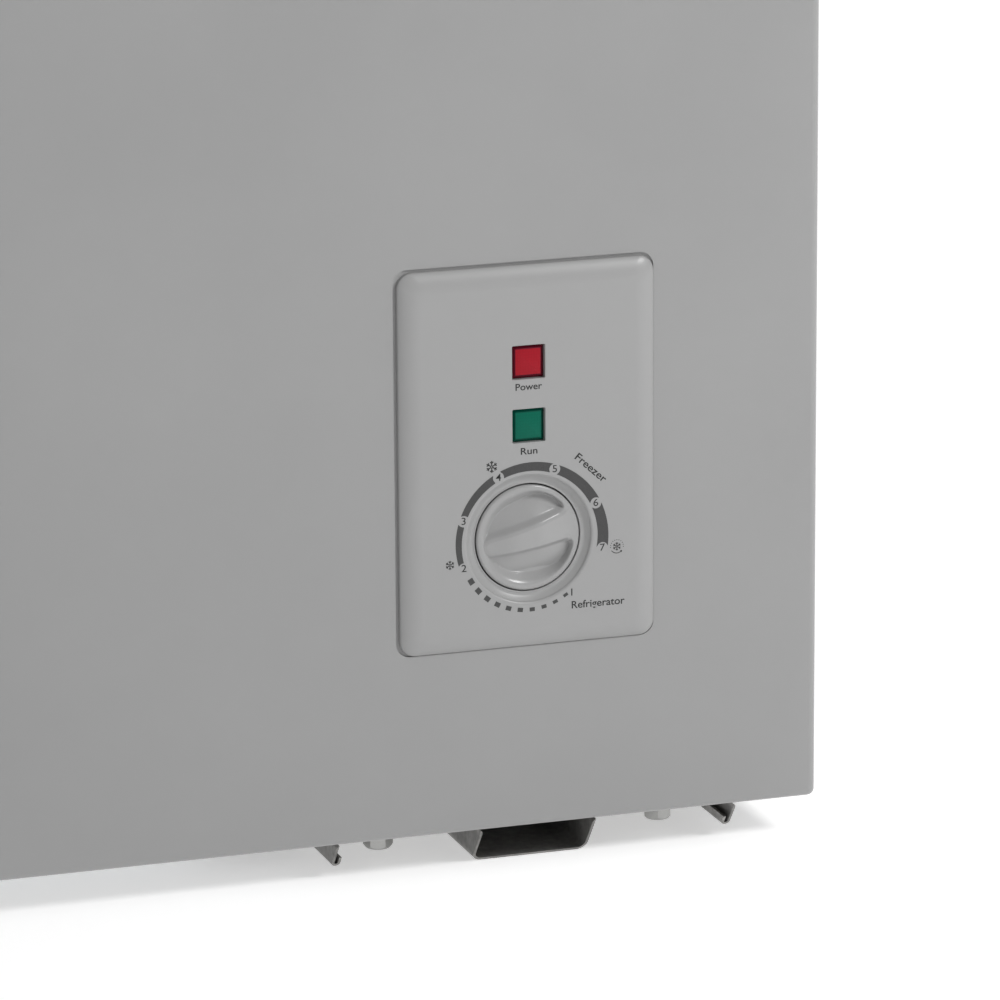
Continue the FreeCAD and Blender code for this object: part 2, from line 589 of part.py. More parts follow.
# ---------------------------------------------------------------- controls
def control_plate():
    """Moulded plate: flat face, soft bevel, dished seat for the knob, two lamp windows and a skirt behind."""
    half, face, edge = PLATE_WIDTH / 2, FRONT - PLATE_PROUD, FRONT - 0.5
    low = rounded_plate(PLATE_X, PLATE_Z, PLATE_WIDTH, PLATE_HEIGHT, PLATE_CORNER, edge, FRONT + 2.0)
    outer = Part.makeLoft([plate_outline(0.0, edge), plate_outline(PLATE_BEVEL, face)], True, True)
    body = fuse(low, outer)
    flange = rounded_plate(PLATE_X, PLATE_Z - 3, PLATE_WIDTH + 6, PLATE_HEIGHT + 6, PLATE_CORNER + 3,
                           FRONT + SHEET + 0.1, FRONT + 2.0)
    cavity = rounded_plate(PLATE_X, PLATE_Z + 2, PLATE_WIDTH - 4, PLATE_HEIGHT - 4, 4.5, FRONT + 0.6,
                           FRONT + 3)
    body = fuse(body, flange).cut(cavity)
    back = Vector(0, 1, 0)
    dish = Part.makeCone(DISH_RADIUS, DISH_RADIUS - 2.2, DISH_DEPTH, Vector(KNOB_X, face, KNOB_Z), back)
    seat = Part.makeCylinder(DISH_RADIUS + 1.4, 2.8, Vector(KNOB_X, FRONT, KNOB_Z), back)
    body = fuse(body, seat).cut(dish)
    bore = KNOB_RADIUS + KNOB_GAP
    body = body.cut(rod(bore, (KNOB_X, FRONT - 5, KNOB_Z), (KNOB_X, FRONT + 5, KNOB_Z)))
    for z in lamp_levels():
        half = LAMP_SIZE / 2
        body = body.cut(box(PLATE_X - half, PLATE_X + half, FRONT - 5, FRONT + 5, z - half, z + half))
    well = ring(bore + 1.7, bore, (KNOB_X, FRONT + 0.6, KNOB_Z), (KNOB_X, FRONT + 12.0, KNOB_Z))
    floor = ring(bore + 1.7, 5.2, (KNOB_X, FRONT + 12.0, KNOB_Z), (KNOB_X, FRONT + 14.0, KNOB_Z))
    clips = []
    for side in (-1, 1):
        for z in (PLATE_Z + 30, PLATE_Z + PLATE_HEIGHT - 30):
            x = PLATE_X + side * (PLATE_WIDTH / 2 - 3.4)
            clips.append(box(x - 1.2, x + 1.2, FRONT + 0.5, FRONT + 13, z - 7, z + 7))
    return fuse(body, well, floor, *clips)


def plate_outline(inset, y):
    """Rounded outline of the plate, pulled in by an inset, at one depth."""
    face = rounded_plate(PLATE_X, PLATE_Z + inset, PLATE_WIDTH - 2 * inset, PLATE_HEIGHT - 2 * inset,
                         max(PLATE_CORNER - inset * 0.3, 3.0), y, y + 1)
    front = [f for f in face.Faces if near(f.BoundBox.YMax, y) and near(f.BoundBox.YMin, y)]
    return front[0].OuterWire


def lamp_levels():
    return [PLATE_Z + PLATE_HEIGHT - drop for drop in LAMP_DROPS]


def lamp_lens(z):
    """Square tinted lens, set a little behind the plate's face."""
    half = LAMP_SIZE / 2 - 0.15
    lens = box(PLATE_X - half, PLATE_X + half, FRONT - PLATE_PROUD + 0.9, FRONT + 5.0, z - half, z + half)
    return lens


def lamp_housings():
    """White housing behind each lens, with two blade terminals."""
    pieces = []
    for z in lamp_levels():
        half = LAMP_SIZE / 2 + 1.6
        body = box(PLATE_X - half, PLATE_X + half, FRONT + 5.0, FRONT + 26.0, z - half, z + half)
        blades = [box(PLATE_X + s - 0.4, PLATE_X + s + 0.4, FRONT + 26.0, FRONT + 34.0, z - 2.4, z + 2.4)
                  for s in (-4, 4)]
        pieces.append(fuse(body, *blades))
    return group(pieces)


def thermostat():
    """Dial thermostat behind the plate: body with fixing bracket, and its flatted shaft."""
    y0 = FRONT + 16.0
    body = round_upright(box(KNOB_X - 19, KNOB_X + 19, y0 + 2.0, y0 + 34.0, KNOB_Z - 22, KNOB_Z + 22), 3)
    bracket = box(KNOB_X - 28, KNOB_X + 28, y0, y0 + 2.0, KNOB_Z - 14, KNOB_Z + 14)
    neck = ring(5.0, 3.1, (KNOB_X, FRONT + 12.2, KNOB_Z), (KNOB_X, y0, KNOB_Z))
    tabs = [box(KNOB_X + s * 24 - 3, KNOB_X + s * 24 + 3, FRONT + 14.0, y0, KNOB_Z - 5, KNOB_Z + 5)
            for s in (-1, 1)]
    blades = [box(KNOB_X + s * 9 - 0.4, KNOB_X + s * 9 + 0.4, y0 + 34.0, y0 + 43.0, KNOB_Z - 3.2,
                  KNOB_Z + 3.2) for s in (-1, 0, 1)]
    bore = rod(3.1, (KNOB_X, FRONT, KNOB_Z), (KNOB_X, y0 + 8, KNOB_Z))
    housing = fuse(body, bracket, neck, *tabs, *blades).cut(bore)
    shaft = rod(3.0, (KNOB_X, FRONT + 1.2, KNOB_Z), (KNOB_X, y0 + 7.5, KNOB_Z))
    shaft = shaft.cut(box(KNOB_X - 5, KNOB_X + 5, FRONT, FRONT + 11.6, KNOB_Z + 1.5, KNOB_Z + 5))
    return housing, shaft


def knob():
    """Round knob: rim, recessed field, tapered grip bar across it, and a flatted socket behind."""
    centre = Vector(KNOB_X, 0, KNOB_Z)
    rim_y, back_y = FRONT - PLATE_PROUD + KNOB_RIM_DEPTH, FRONT + 11.4
    top_y = rim_y - KNOB_BAR_RISE
    disc = rod(KNOB_RADIUS, (KNOB_X, rim_y, KNOB_Z), (KNOB_X, back_y, KNOB_Z))
    front_edge = [e for e in disc.Edges if near(e.BoundBox.YMax, rim_y)]
    disc = disc.makeFillet(1.2, front_edge)
    field = Part.makeCone(KNOB_RADIUS - 2.0, KNOB_RADIUS - 4.0, 2.4, Vector(KNOB_X, rim_y, KNOB_Z),
                          Vector(0, 1, 0))
    hollow = ring(KNOB_RADIUS - 2.4, 6.6, (KNOB_X, rim_y + 5.0, KNOB_Z), (KNOB_X, back_y + 1, KNOB_Z))
    body = disc.cut(field).cut(hollow)

    def section(y, left_half, right_half, reach):
        corners = [(-reach, -left_half), (reach, -right_half), (reach, right_half), (-reach, left_half),
                   (-reach, -left_half)]
        return Part.makePolygon([Vector(KNOB_X + u, y, KNOB_Z + v) for u, v in corners])

    bar = Part.makeLoft([section(rim_y + 3.0, 4.2, 7.4, 18.4), section(top_y, 1.7, 4.4, 17.0)], True, True)
    crown = [e for e in bar.Edges if near(e.BoundBox.YMax, top_y)]
    bar = bar.makeFillet(1.1, crown)
    bar = bar.common(rod(KNOB_RADIUS - 1.2, (KNOB_X, top_y - 1, KNOB_Z), (KNOB_X, rim_y + 4, KNOB_Z)))
    body = fuse(body, bar)
    socket = rod(3.02, (KNOB_X, FRONT + 1.0, KNOB_Z), (KNOB_X, back_y + 1, KNOB_Z))
    flat = box(KNOB_X - 5, KNOB_X + 5, FRONT, back_y + 2, KNOB_Z + 1.52, KNOB_Z + 5)
    body = body.cut(socket.cut(flat))
    body.rotate(centre, Vector(0, 1, 0), -KNOB_AXIS_TILT)
    return body


def knob_turned(shape):
    """Turns a piece with the knob to its rest setting."""
    turned = shape.copy()
    turned.rotate(Vector(KNOB_X, 0, KNOB_Z), Vector(0, 1, 0), -KNOB_AXIS_TILT)
    return turned


def wiring():
    """Sensing bulb tube, terminal block, mains inlet gland and the loom between them."""
    bulb = pipe([(KNOB_X - 14, FRONT + 50.0, KNOB_Z + 15), (KNOB_X - 14, FRONT + 66.0, KNOB_Z + 15),
                 (300.0, -150.0, KNOB_Z + 40),
                 (300.0, -150.0, STEP_Z - 14)], [8, 16], 1.2)
    block_x, block_y, block_z = BAY_LEFT, -60.0, 170.0
    block = box(block_x, block_x + 22, block_y - 30, block_y + 30, block_z, block_z + 20)
    for k in range(5):
        y = block_y - 24 + 12 * k
        block = block.cut(rod(2.2, (block_x + 15, y, block_z + 10), (block_x + 25, y, block_z + 10)))
    start = FRONT + 60.0
    loom = [pipe([(PLATE_X, start - 24.0, lamp_levels()[0]), (PLATE_X, start, lamp_levels()[0]),
                  (PLATE_X - 40, start + 20, 220), (block_x + 30, -100.0, 220),
                  (block_x + 12, block_y - 12, 215), (block_x + 12, block_y - 12, 190.2)],
                 [8, 14, 14, 10], 2.2),
            pipe([(block_x + 12, block_y + 12, 190.2), (block_x + 12, block_y + 12, 214),
                  (block_x + 30, 20.0, 214), (block_x + 36, 106.0, 170),
                  (block_x + 36, 106.0, 122.1)], [8, 14, 14], 2.2)]
    gland_x, gland_z = BAY_LEFT + 36.0, 60.0
    gland = fuse(ring(9.0, 4.5, (gland_x, BACK - 8, gland_z), (gland_x, BACK + 0.6, gland_z)),
                 ring(12.5, 4.5, (gland_x, BACK + 0.6, gland_z), (gland_x, BACK + 3.4, gland_z)),
                 Part.makeCone(8.0, 6.2, REACH - 3.4, Vector(gland_x, BACK + 3.4, gland_z),
                               Vector(0, 1, 0)).cut(
                     rod(4.5, (gland_x, BACK, gland_z), (gland_x, BACK + REACH + 2, gland_z))))
    return bulb, block, group(loom), gland


# ---------------------------------------------------------------- compartment covers
def rear_grille():
    """Steel cover over the rear of the compartment, with rows of louvres and edges turned in."""
    y0, y1 = BACK - BACK_SHEET, BACK + 0.6
    x0, x1, z0, z1 = BAY_LEFT + 0.5, RIGHT - SHEET - 0.8, BOTTOM + 2, BAY_TOP - 0.5
    cover = box(x0, x1, y0, y1, z0, z1)
    gland_x, gland_z = BAY_LEFT + 36.0, 60.0
    cover = cover.cut(rod(9.2, (gland_x, y0 - 1, gland_z), (gland_x, y1 + 1, gland_z)))
    for row in range(7):
        for column in range(2):
            x = x0 + 62 + column * 88
            z = 96 + row * 20
            cover = cover.cut(box(x - 36, x + 36, y0 - 1, y1 + 1, z, z + 6))
    for row in range(7):
        for column in range(2):
            x = x0 + 62 + column * 88
            z = 96 + row * 20
            hood = [(y1, z + 9.0), (y1 + 1.0, z + 9.0), (y1 + 5.0, z + 1.5), (y1 + 4.2, z + 1.0),
                    (y1, z + 8.0)]
            face = Part.Face(Part.makePolygon([Vector(x - 37, y, level) for y, level in hood + hood[:1]]))
            cover = cover.fuse(face.extrude(Vector(74, 0, 0)))
    for x, z in cover_screw_places():
        cover = cover.cut(rod(2.1, (x, y0 - 1, z), (x, y1 + 1, z)))
    return cover.removeSplitter()


def cover_screw_places():
    xs = (BAY_LEFT + 12, RIGHT - 14)
    return [(x, z) for x in xs for z in (BOTTOM + 34, BAY_TOP - 12)]


def pan_screw(x, y, z, axis, head=4.0, shank=2.0, length=9.0, rise=2.4):
    """Cross-recessed screw: domed head standing out along the axis, shank the other way."""
    axis = Vector(*axis)
    seat = Vector(x, y, z)
    body = Part.makeCylinder(head, rise, seat, axis)
    top_edge = [e for e in body.Edges if near((e.CenterOfMass - seat).Length, rise, 0.05)]
    body = body.makeFillet(rise * 0.6, top_edge[:1])
    shaft = Part.makeCylinder(shank, length, seat, axis * -1)
    side = Vector(0, 0, 1) if abs(axis.z) < 0.5 else Vector(1, 0, 0)
    other = axis.cross(side)
    for way, across in ((side, other), (other, side)):
        corner = seat + axis * (rise - 1.0) - way * (head * 0.55) - across * 0.35
        slot = Part.makePolygon([corner, corner + way * (head * 1.1),
                                 corner + way * (head * 1.1) + across * 0.7, corner + across * 0.7, corner])
        body = body.cut(Part.Face(slot).extrude(axis * 2))
    return fuse(body, shaft)


def side_grille():
    """Moulded louvre in the right side: a bezel round a row of sloping vanes."""
    (y0, y1), (z0, z1) = grille_y(), grille_z()
    bezel = box(RIGHT, RIGHT + 2.6, y0 - 7, y1 + 7, z0 - 7, z1 + 7)
    bezel = bezel.makeFillet(6.0, edges_where(bezel, lambda m, d: near(abs(d.x), 1.0)))
    front = [e for e in bezel.Edges if near(e.BoundBox.XMin, RIGHT + 2.6)]
    bezel = bezel.makeFillet(1.4, front)
    gap = 0.4
    skirt = box(RIGHT - 8, RIGHT, y0 + gap, y1 - gap, z0 + gap, z1 - gap)
    frame = fuse(bezel, skirt).cut(box(RIGHT - 10, RIGHT + 5, y0 + 3, y1 - 3, z0 + 3, z1 - 3))
    vanes = []
    count, pitch = 11, (z1 - z0 - 8) / 11
    for k in range(count):
        z = z0 + 5.5 + pitch * k
        corners = [(RIGHT + 1.6, z), (RIGHT + 1.6, z + 1.8), (RIGHT - 7.0, z + 8.6), (RIGHT - 7.0, z + 6.8)]
        face = Part.Face(Part.makePolygon([Vector(x, y0 + 2, level) for x, level in corners + corners[:1]]))
        vanes.append(face.extrude(Vector(0, y1 - y0 - 4, 0)))
    return fuse(frame, *vanes)


# ---------------------------------------------------------------- lid
def lid_block(inset, z0, z1, corner, top_round):
    """Lid outline with rounded corners and a rounded top edge, pulled in by an inset."""
    side = RIGHT + LID_SIDE_OVERHANG - inset
    body = round_upright(box(-side, side, LID_FRONT + inset, BACK - inset, z0, z1), corner - inset)
    rim = [e for e in body.Edges if near(e.BoundBox.ZMin, z1) and near(e.BoundBox.ZMax, z1)]
    return body.makeFillet(top_round, rim)


def lid_skin():
    """Painted pressing over the top and sides of the lid."""
    skin = lid_block(0.0, LID_BOTTOM + 9, LID_TOP, 14.0, 9.0)
    skin = skin.cut(lid_block(SHEET, LID_BOTTOM, LID_TOP - SHEET, 14.0, 9.0 - SHEET))
    for x in HINGE_XS.values():
        for dx, z in HINGE_LID_SCREWS:
            skin = skin.cut(rod(2.3, (x + dx, BACK - 3, z), (x + dx, BACK + 3, z)))
    return skin


def lid_frame():
    """Moulded edge trim under the skin, with a groove that holds the gasket's foot."""
    outer = lid_block(0.0, LID_BOTTOM, LID_BOTTOM + 20, 14.0, 0.5)
    outer = outer.common(box(-600, 600, -400, 400, 0, LID_BOTTOM + 9))
    tongue = lid_block(SHEET + 0.1, LID_BOTTOM, LID_BOTTOM + 30, 14.0, 0.5)
    tongue = tongue.common(box(-600, 600, -400, 400, 0, LID_BOTTOM + 17))
    body = fuse(outer, tongue)
    inner = box(GASKET_IN_X, -GASKET_IN_X, GASKET_IN_FRONT, -GASKET_IN_FRONT, LID_BOTTOM - 1,
                LID_BOTTOM + 30)
    return body.cut(inner)


GASKET_OUT_X, GASKET_OUT_Y = RIGHT - 14.0, BACK - 14.0
GASKET_WIDTH = 15.0
GASKET_IN_X, GASKET_IN_FRONT = -(GASKET_OUT_X - GASKET_WIDTH - 8.0), -(GASKET_OUT_Y - GASKET_WIDTH - 8.0)


def lid_gasket():
    """Soft bellows seal: a foot against the lid, a waist and a wider pad that closes on the rim."""
    foot = frame_ring(GASKET_OUT_X, GASKET_OUT_Y, LID_BOTTOM - 1.6, LID_BOTTOM, GASKET_WIDTH, 4.0)
    waist = frame_ring(GASKET_OUT_X - 3, GASKET_OUT_Y - 3, LID_BOTTOM - 3.4, LID_BOTTOM - 1.6,
                       GASKET_WIDTH - 6)
    pad = frame_ring(GASKET_OUT_X - 0.5, GASKET_OUT_Y - 0.5, RIM_HEIGHT + 0.3, LID_BOTTOM - 3.4,
                     GASKET_WIDTH - 1, 4.0)
    return fuse(foot, waist, pad)


def lid_inner_panel():
    """Moulded panel under the lid, with a shallow plug that drops into the well."""
    x, y = -GASKET_IN_X - 0.2, -GASKET_IN_FRONT - 0.2
    sheet = box(-x, x, -y, y, LID_BOTTOM, LID_BOTTOM + 2)
    plug_x, plug_y, drop = WELL_RIGHT - 12, WELL_BACK - 12, 9.0
    plug = round_upright(box(-plug_x, plug_x, -plug_y, plug_y, LID_BOTTOM - drop, LID_BOTTOM + 2), 20)
    low = [e for e in plug.Edges if near(e.BoundBox.ZMax, LID_BOTTOM - drop)]
    plug = plug.makeFillet(6.0, low)
    hollow = round_upright(box(2 - plug_x, plug_x - 2, 2 - plug_y, plug_y - 2, LID_BOTTOM - drop + 2,
                               LID_BOTTOM + 5), 18)
    return fuse(sheet, plug).cut(hollow)


def lid_foam():
    """Rigid foam core of the lid."""
    core = lid_block(SHEET + 0.1, LID_BOTTOM + 17, LID_TOP - SHEET - 0.1, 14.0, 8.0)
    x, y = -GASKET_IN_X - 0.2, -GASKET_IN_FRONT - 0.2
    middle = box(-x, x, -y, y, LID_BOTTOM + 2, LID_BOTTOM + 17)
    return fuse(core, middle)


HANDLE_HALF = 105.0
HANDLE_LOW, HANDLE_HIGH = RIM_HEIGHT - 22.0, LID_TOP - 16.0
LOCK_X, LOCK_Z = 0.0, RIM_HEIGHT - 4.0


def lid_handle():
    """Moulded pull on the lid's front, hollow and open below for the fingers, with a boss for the lock."""
    y0, y1, wall = FRONT - REACH, LID_FRONT, 3.0
    body = box(-HANDLE_HALF, HANDLE_HALF, y0, y1, HANDLE_LOW, HANDLE_HIGH)
    body = body.makeFillet(9.0, edges_where(body, lambda m, d: near(abs(d.y), 1.0)))
    front = [e for e in body.Edges if near(e.BoundBox.YMax, y0)]
    body = body.makeFillet(5.0, front)
    hollow = box(wall - HANDLE_HALF, HANDLE_HALF - wall, y0 + wall, y1 + 1, HANDLE_LOW - 1, LID_BOTTOM + 8)
    body = body.cut(hollow)
    boss = rod(12.0, (LOCK_X, y0 + 1, LOCK_Z), (LOCK_X, y0 + 9, LOCK_Z))
    body = fuse(body, boss)
    return body.cut(rod(9.06, (LOCK_X, y0 - 1, LOCK_Z), (LOCK_X, y0 + 12, LOCK_Z)))


def lid_lock():
    """Cylinder lock in the handle: barrel, cam and the strike on the cabinet."""
    y0 = FRONT - REACH
    barrel = fuse(rod(9.0, (LOCK_X, y0, LOCK_Z), (LOCK_X, y0 + 9.2, LOCK_Z)),
                  rod(4.0, (LOCK_X, y0 + 9.2, LOCK_Z), (LOCK_X, y0 + 13.0, LOCK_Z)))
    barrel = barrel.cut(box(LOCK_X - 1.3, LOCK_X + 1.3, y0 - 1, y0 + 8.0, LOCK_Z - 4.5, LOCK_Z + 4.5))
    cam = box(LOCK_X - 5, LOCK_X + 5, y0 + 11.0, y0 + 13.0, LOCK_Z - 19, LOCK_Z + 6)
    cam = cam.makeFillet(4.0, edges_where(cam, lambda m, d: near(abs(d.y), 1.0)))
    cam = cam.cut(rod(4.0, (LOCK_X, y0 + 10, LOCK_Z), (LOCK_X, y0 + 14, LOCK_Z)))
    top = LOCK_Z + 5.6
    strike = fuse(box(6, 26, FRONT - 1.5, FRONT, 764, top + 1.5),
                  box(9, 23, FRONT - 18.5, FRONT - 1.5, top, top + 1.5))
    for x in STRIKE_SCREWS:
        strike = strike.cut(rod(1.7, (x, FRONT - 3, STRIKE_SCREW_Z), (x, FRONT + 1, STRIKE_SCREW_Z)))
    return barrel, cam, strike


def strike_screws():
    return [pan_screw(x, FRONT - 1.5, STRIKE_SCREW_Z, (0, -1, 0), 2.8, 1.6, 5.5, 1.6)
            for x in STRIKE_SCREWS]


# ---------------------------------------------------------------- hinges
HINGE_BODY_SCREWS = [(-13.0, 700.0), (13.0, 700.0), (-13.0, 750.0), (13.0, 750.0)]
HINGE_LID_SCREWS = [(-12.0, LID_BOTTOM + 24), (12.0, LID_BOTTOM + 24)]
PIN_RADIUS = 3.5


def hinge_body(x):
    """Bracket on the cabinet's back: a plate and two cheeks that carry the pin."""
    plate = box(x - 32, x + 32, BACK, BACK + 2.5, 685, 784)
    plate = plate.makeFillet(5.0, edges_where(plate, lambda m, d: near(abs(d.y), 1.0)))
    pieces = [plate]
    for side in (-1, 1):
        cx = x + side * 24.5
        cheek = fuse(box(cx - 1.5, cx + 1.5, BACK + 2, HINGE_Y + 7, 735, HINGE_Z),
                     rod(8.0, (cx - 1.5, HINGE_Y, HINGE_Z), (cx + 1.5, HINGE_Y, HINGE_Z)))
        toe = Part.Face(Part.makePolygon([Vector(cx - 1.5, y, z) for y, z in
                                          ((BACK + 2, 700), (HINGE_Y + 7, 736), (BACK + 2, 736),
                                           (BACK + 2, 700))]))
        pieces += [cheek, toe.extrude(Vector(3, 0, 0))]
    body = fuse(*pieces)
    body = body.cut(rod(PIN_RADIUS, (x - 40, HINGE_Y, HINGE_Z), (x + 40, HINGE_Y, HINGE_Z)))
    for dx, z in HINGE_BODY_SCREWS:
        body = body.cut(rod(2.3, (x + dx, BACK - 1, z), (x + dx, BACK + 4, z)))
    return body


def hinge_leaf(x):
    """Leaf on the lid's back: a plate with two knuckles inside the cheeks, round the pin."""
    plate = box(x - 21, x + 21, BACK, BACK + 2.5, LID_BOTTOM + 12, LID_TOP - 12)
    pieces = [plate]
    for side in (-1, 1):
        cx = x + side * 19.5
        pieces.append(rod(6.5, (cx - 2.5, HINGE_Y, HINGE_Z), (cx + 2.5, HINGE_Y, HINGE_Z)))
        outline = [(BACK + 1, LID_BOTTOM + 12), (HINGE_Y - 6.3, HINGE_Z - 1), (HINGE_Y + 6.3, HINGE_Z - 1),
                   (HINGE_Y + 5.0, LID_BOTTOM + 16), (BACK + 1, LID_BOTTOM + 30), (BACK + 1, LID_BOTTOM + 12)]
        arm = Part.Face(Part.makePolygon([Vector(cx - 1.5, y, z) for y, z in outline]))
        pieces.append(arm.extrude(Vector(3, 0, 0)))
    leaf = fuse(*pieces).cut(rod(PIN_RADIUS + 0.06, (x - 40, HINGE_Y, HINGE_Z), (x + 40, HINGE_Y, HINGE_Z)))
    for dx, z in HINGE_LID_SCREWS:
        leaf = leaf.cut(rod(2.3, (x + dx, BACK - 1, z), (x + dx, BACK + 4, z)))
    return leaf


def hinge_spring(x):
    """Torsion spring round the pin: a close coil, one leg down the bracket and one up the leaf."""
    wire, coil_radius, turns = 1.3, 5.6, 9
    pitch = 2 * wire + 0.25
    helix = Part.makeHelix(pitch, pitch * turns, coil_radius)
    start = helix.Vertexes[0].Point
    section = Part.Wire([Part.Circle(start, Vector(0, 1, 0), wire).toShape()])
    coil = Part.Wire(helix.Edges).makePipeShell([section], True, True)
    coil.rotate(Vector(0, 0, 0), Vector(0, 1, 0), 90)
    coil.translate(Vector(x - pitch * turns / 2, HINGE_Y, HINGE_Z))
    return coil


def hinges():
    """Everything on both hinges, by name."""
    pieces, pins, springs, lid_screws = {}, [], [], []
    for side, x in HINGE_XS.items():
        pieces[f"hinge_bracket_{side}"] = hinge_body(x)
        pieces[f"hinge_leaf_{side}"] = hinge_leaf(x)
        springs.append(hinge_spring(x))
        shank = rod(PIN_RADIUS, (x - 28, HINGE_Y, HINGE_Z), (x + 28, HINGE_Y, HINGE_Z))
        head = rod(5.5, (x - 30, HINGE_Y, HINGE_Z), (x - 28, HINGE_Y, HINGE_Z))
        clip = rod(5.5, (x + 28, HINGE_Y, HINGE_Z), (x + 29, HINGE_Y, HINGE_Z))
        pins.append(fuse(shank, head, clip))
        lid_screws += [pan_screw(x + dx, BACK + 2.5, z, (0, 1, 0), 4.2, 2.2, 14.0)
                       for dx, z in HINGE_LID_SCREWS]
    pieces["hinge_pins"] = group(pins)
    pieces["hinge_springs"] = group(springs)
    pieces["hinge_leaf_screws"] = group(lid_screws)
    return pieces


def cabinet_screws():
    """Screws of the hinge brackets, the rear grille and the lock's strike."""
    brackets = [pan_screw(x + dx, BACK + 2.5, z, (0, 1, 0), 4.2, 2.2, 14.0)
                for x in HINGE_XS.values() for dx, z in HINGE_BODY_SCREWS]
    grille = [pan_screw(x, BACK + 0.6, z, (0, 1, 0)) for x, z in cover_screw_places()]
    return brackets + grille + strike_screws()


# ---------------------------------------------------------------- basket
BASKET_HALF_X, BASKET_X = 92.0, WELL_RIGHT - 100.0
BASKET_TOP, BASKET_BOTTOM = RIM_HEIGHT - 14.0, RIM_HEIGHT - 234.0
BASKET_END = WELL_BACK - 6.0
BASKET_WIRE, BASKET_FRAME = 1.6, 2.6


def between(start, end, share):
    return start + (end - start) * share


def basket_wire_xs():
    return [BASKET_X - 64 + 16 * k for k in range(9)]


def basket():
    """Coated wire basket that hangs on the liner's rim by two hooked ends, and slides along it."""
    x_low, y_low = BASKET_HALF_X - 12.0, BASKET_END - 15.0
    inset = 2 * BASKET_WIRE - 0.35

    def loop(half_x, half_y, z, radius):
        halves = []
        for way in (-1, 1):
            corners = [(0, -half_y), (way * half_x, -half_y), (way * half_x, half_y), (0, half_y)]
            halves.append(pipe([(BASKET_X + x, y, z) for x, y in corners], 18.0, radius))
        return fuse(*halves)

    wires = [loop(BASKET_HALF_X, BASKET_END, BASKET_TOP, BASKET_FRAME)]
    for share in (0.28, 0.56, 0.84):
        wires.append(loop(between(BASKET_HALF_X, x_low, share) - inset,
                          between(BASKET_END, y_low, share) - inset,
                          between(BASKET_TOP, BASKET_BOTTOM, share), BASKET_WIRE))
    for x in basket_wire_xs():
        wires.append(pipe([(x, -BASKET_END, BASKET_TOP), (x, -y_low, BASKET_BOTTOM),
                           (x, y_low, BASKET_BOTTOM),
                           (x, BASKET_END, BASKET_TOP)], 8.0, BASKET_WIRE))
    for k in range(15):
        y, low = -168 + 24 * k, BASKET_BOTTOM - inset
        wires.append(pipe([(BASKET_X - BASKET_HALF_X, y, BASKET_TOP), (BASKET_X - x_low, y, low),
                           (BASKET_X + x_low, y, low), (BASKET_X + BASKET_HALF_X, y,
                                                        BASKET_TOP)], 8.0, BASKET_WIRE))
    hook_z, hook_y = RIM_HEIGHT + BASKET_FRAME + 0.05, WELL_BACK + 12.0
    for side in (-1, 1):
        hook = [(-54, BASKET_END, BASKET_TOP), (-54, BASKET_END, hook_z), (-54, hook_y, hook_z)]
        hook += [(-x, y, z) for x, y, z in reversed(hook)]
        wires.append(pipe([(BASKET_X + x, side * y, z) for x, y, z in hook], 5.5, BASKET_FRAME))
    return fuse(*wires)


def basket_grips():
    """Moulded grips on the basket's top wire, one at each end."""
    pieces = []
    for side in (-1, 1):
        bar_y = side * BASKET_END
        grip = box(BASKET_X - 42, BASKET_X + 42, bar_y - 5.5, bar_y + 5.5, BASKET_TOP - 5.5,
                   BASKET_TOP + 5.5)
        grip = grip.makeFillet(4.0, edges_where(grip, lambda m, d: near(abs(d.x), 1.0)))
        grip = grip.cut(rod(BASKET_FRAME, (BASKET_X - 60, bar_y, BASKET_TOP),
                            (BASKET_X + 60, bar_y, BASKET_TOP)))
        for x in basket_wire_xs():
            low = (x, side * (BASKET_END - 15.0), BASKET_BOTTOM)
            grip = grip.cut(rod(BASKET_WIRE + 0.1, (x, bar_y, BASKET_TOP), low))
        pieces.append(grip)
    return group(pieces)


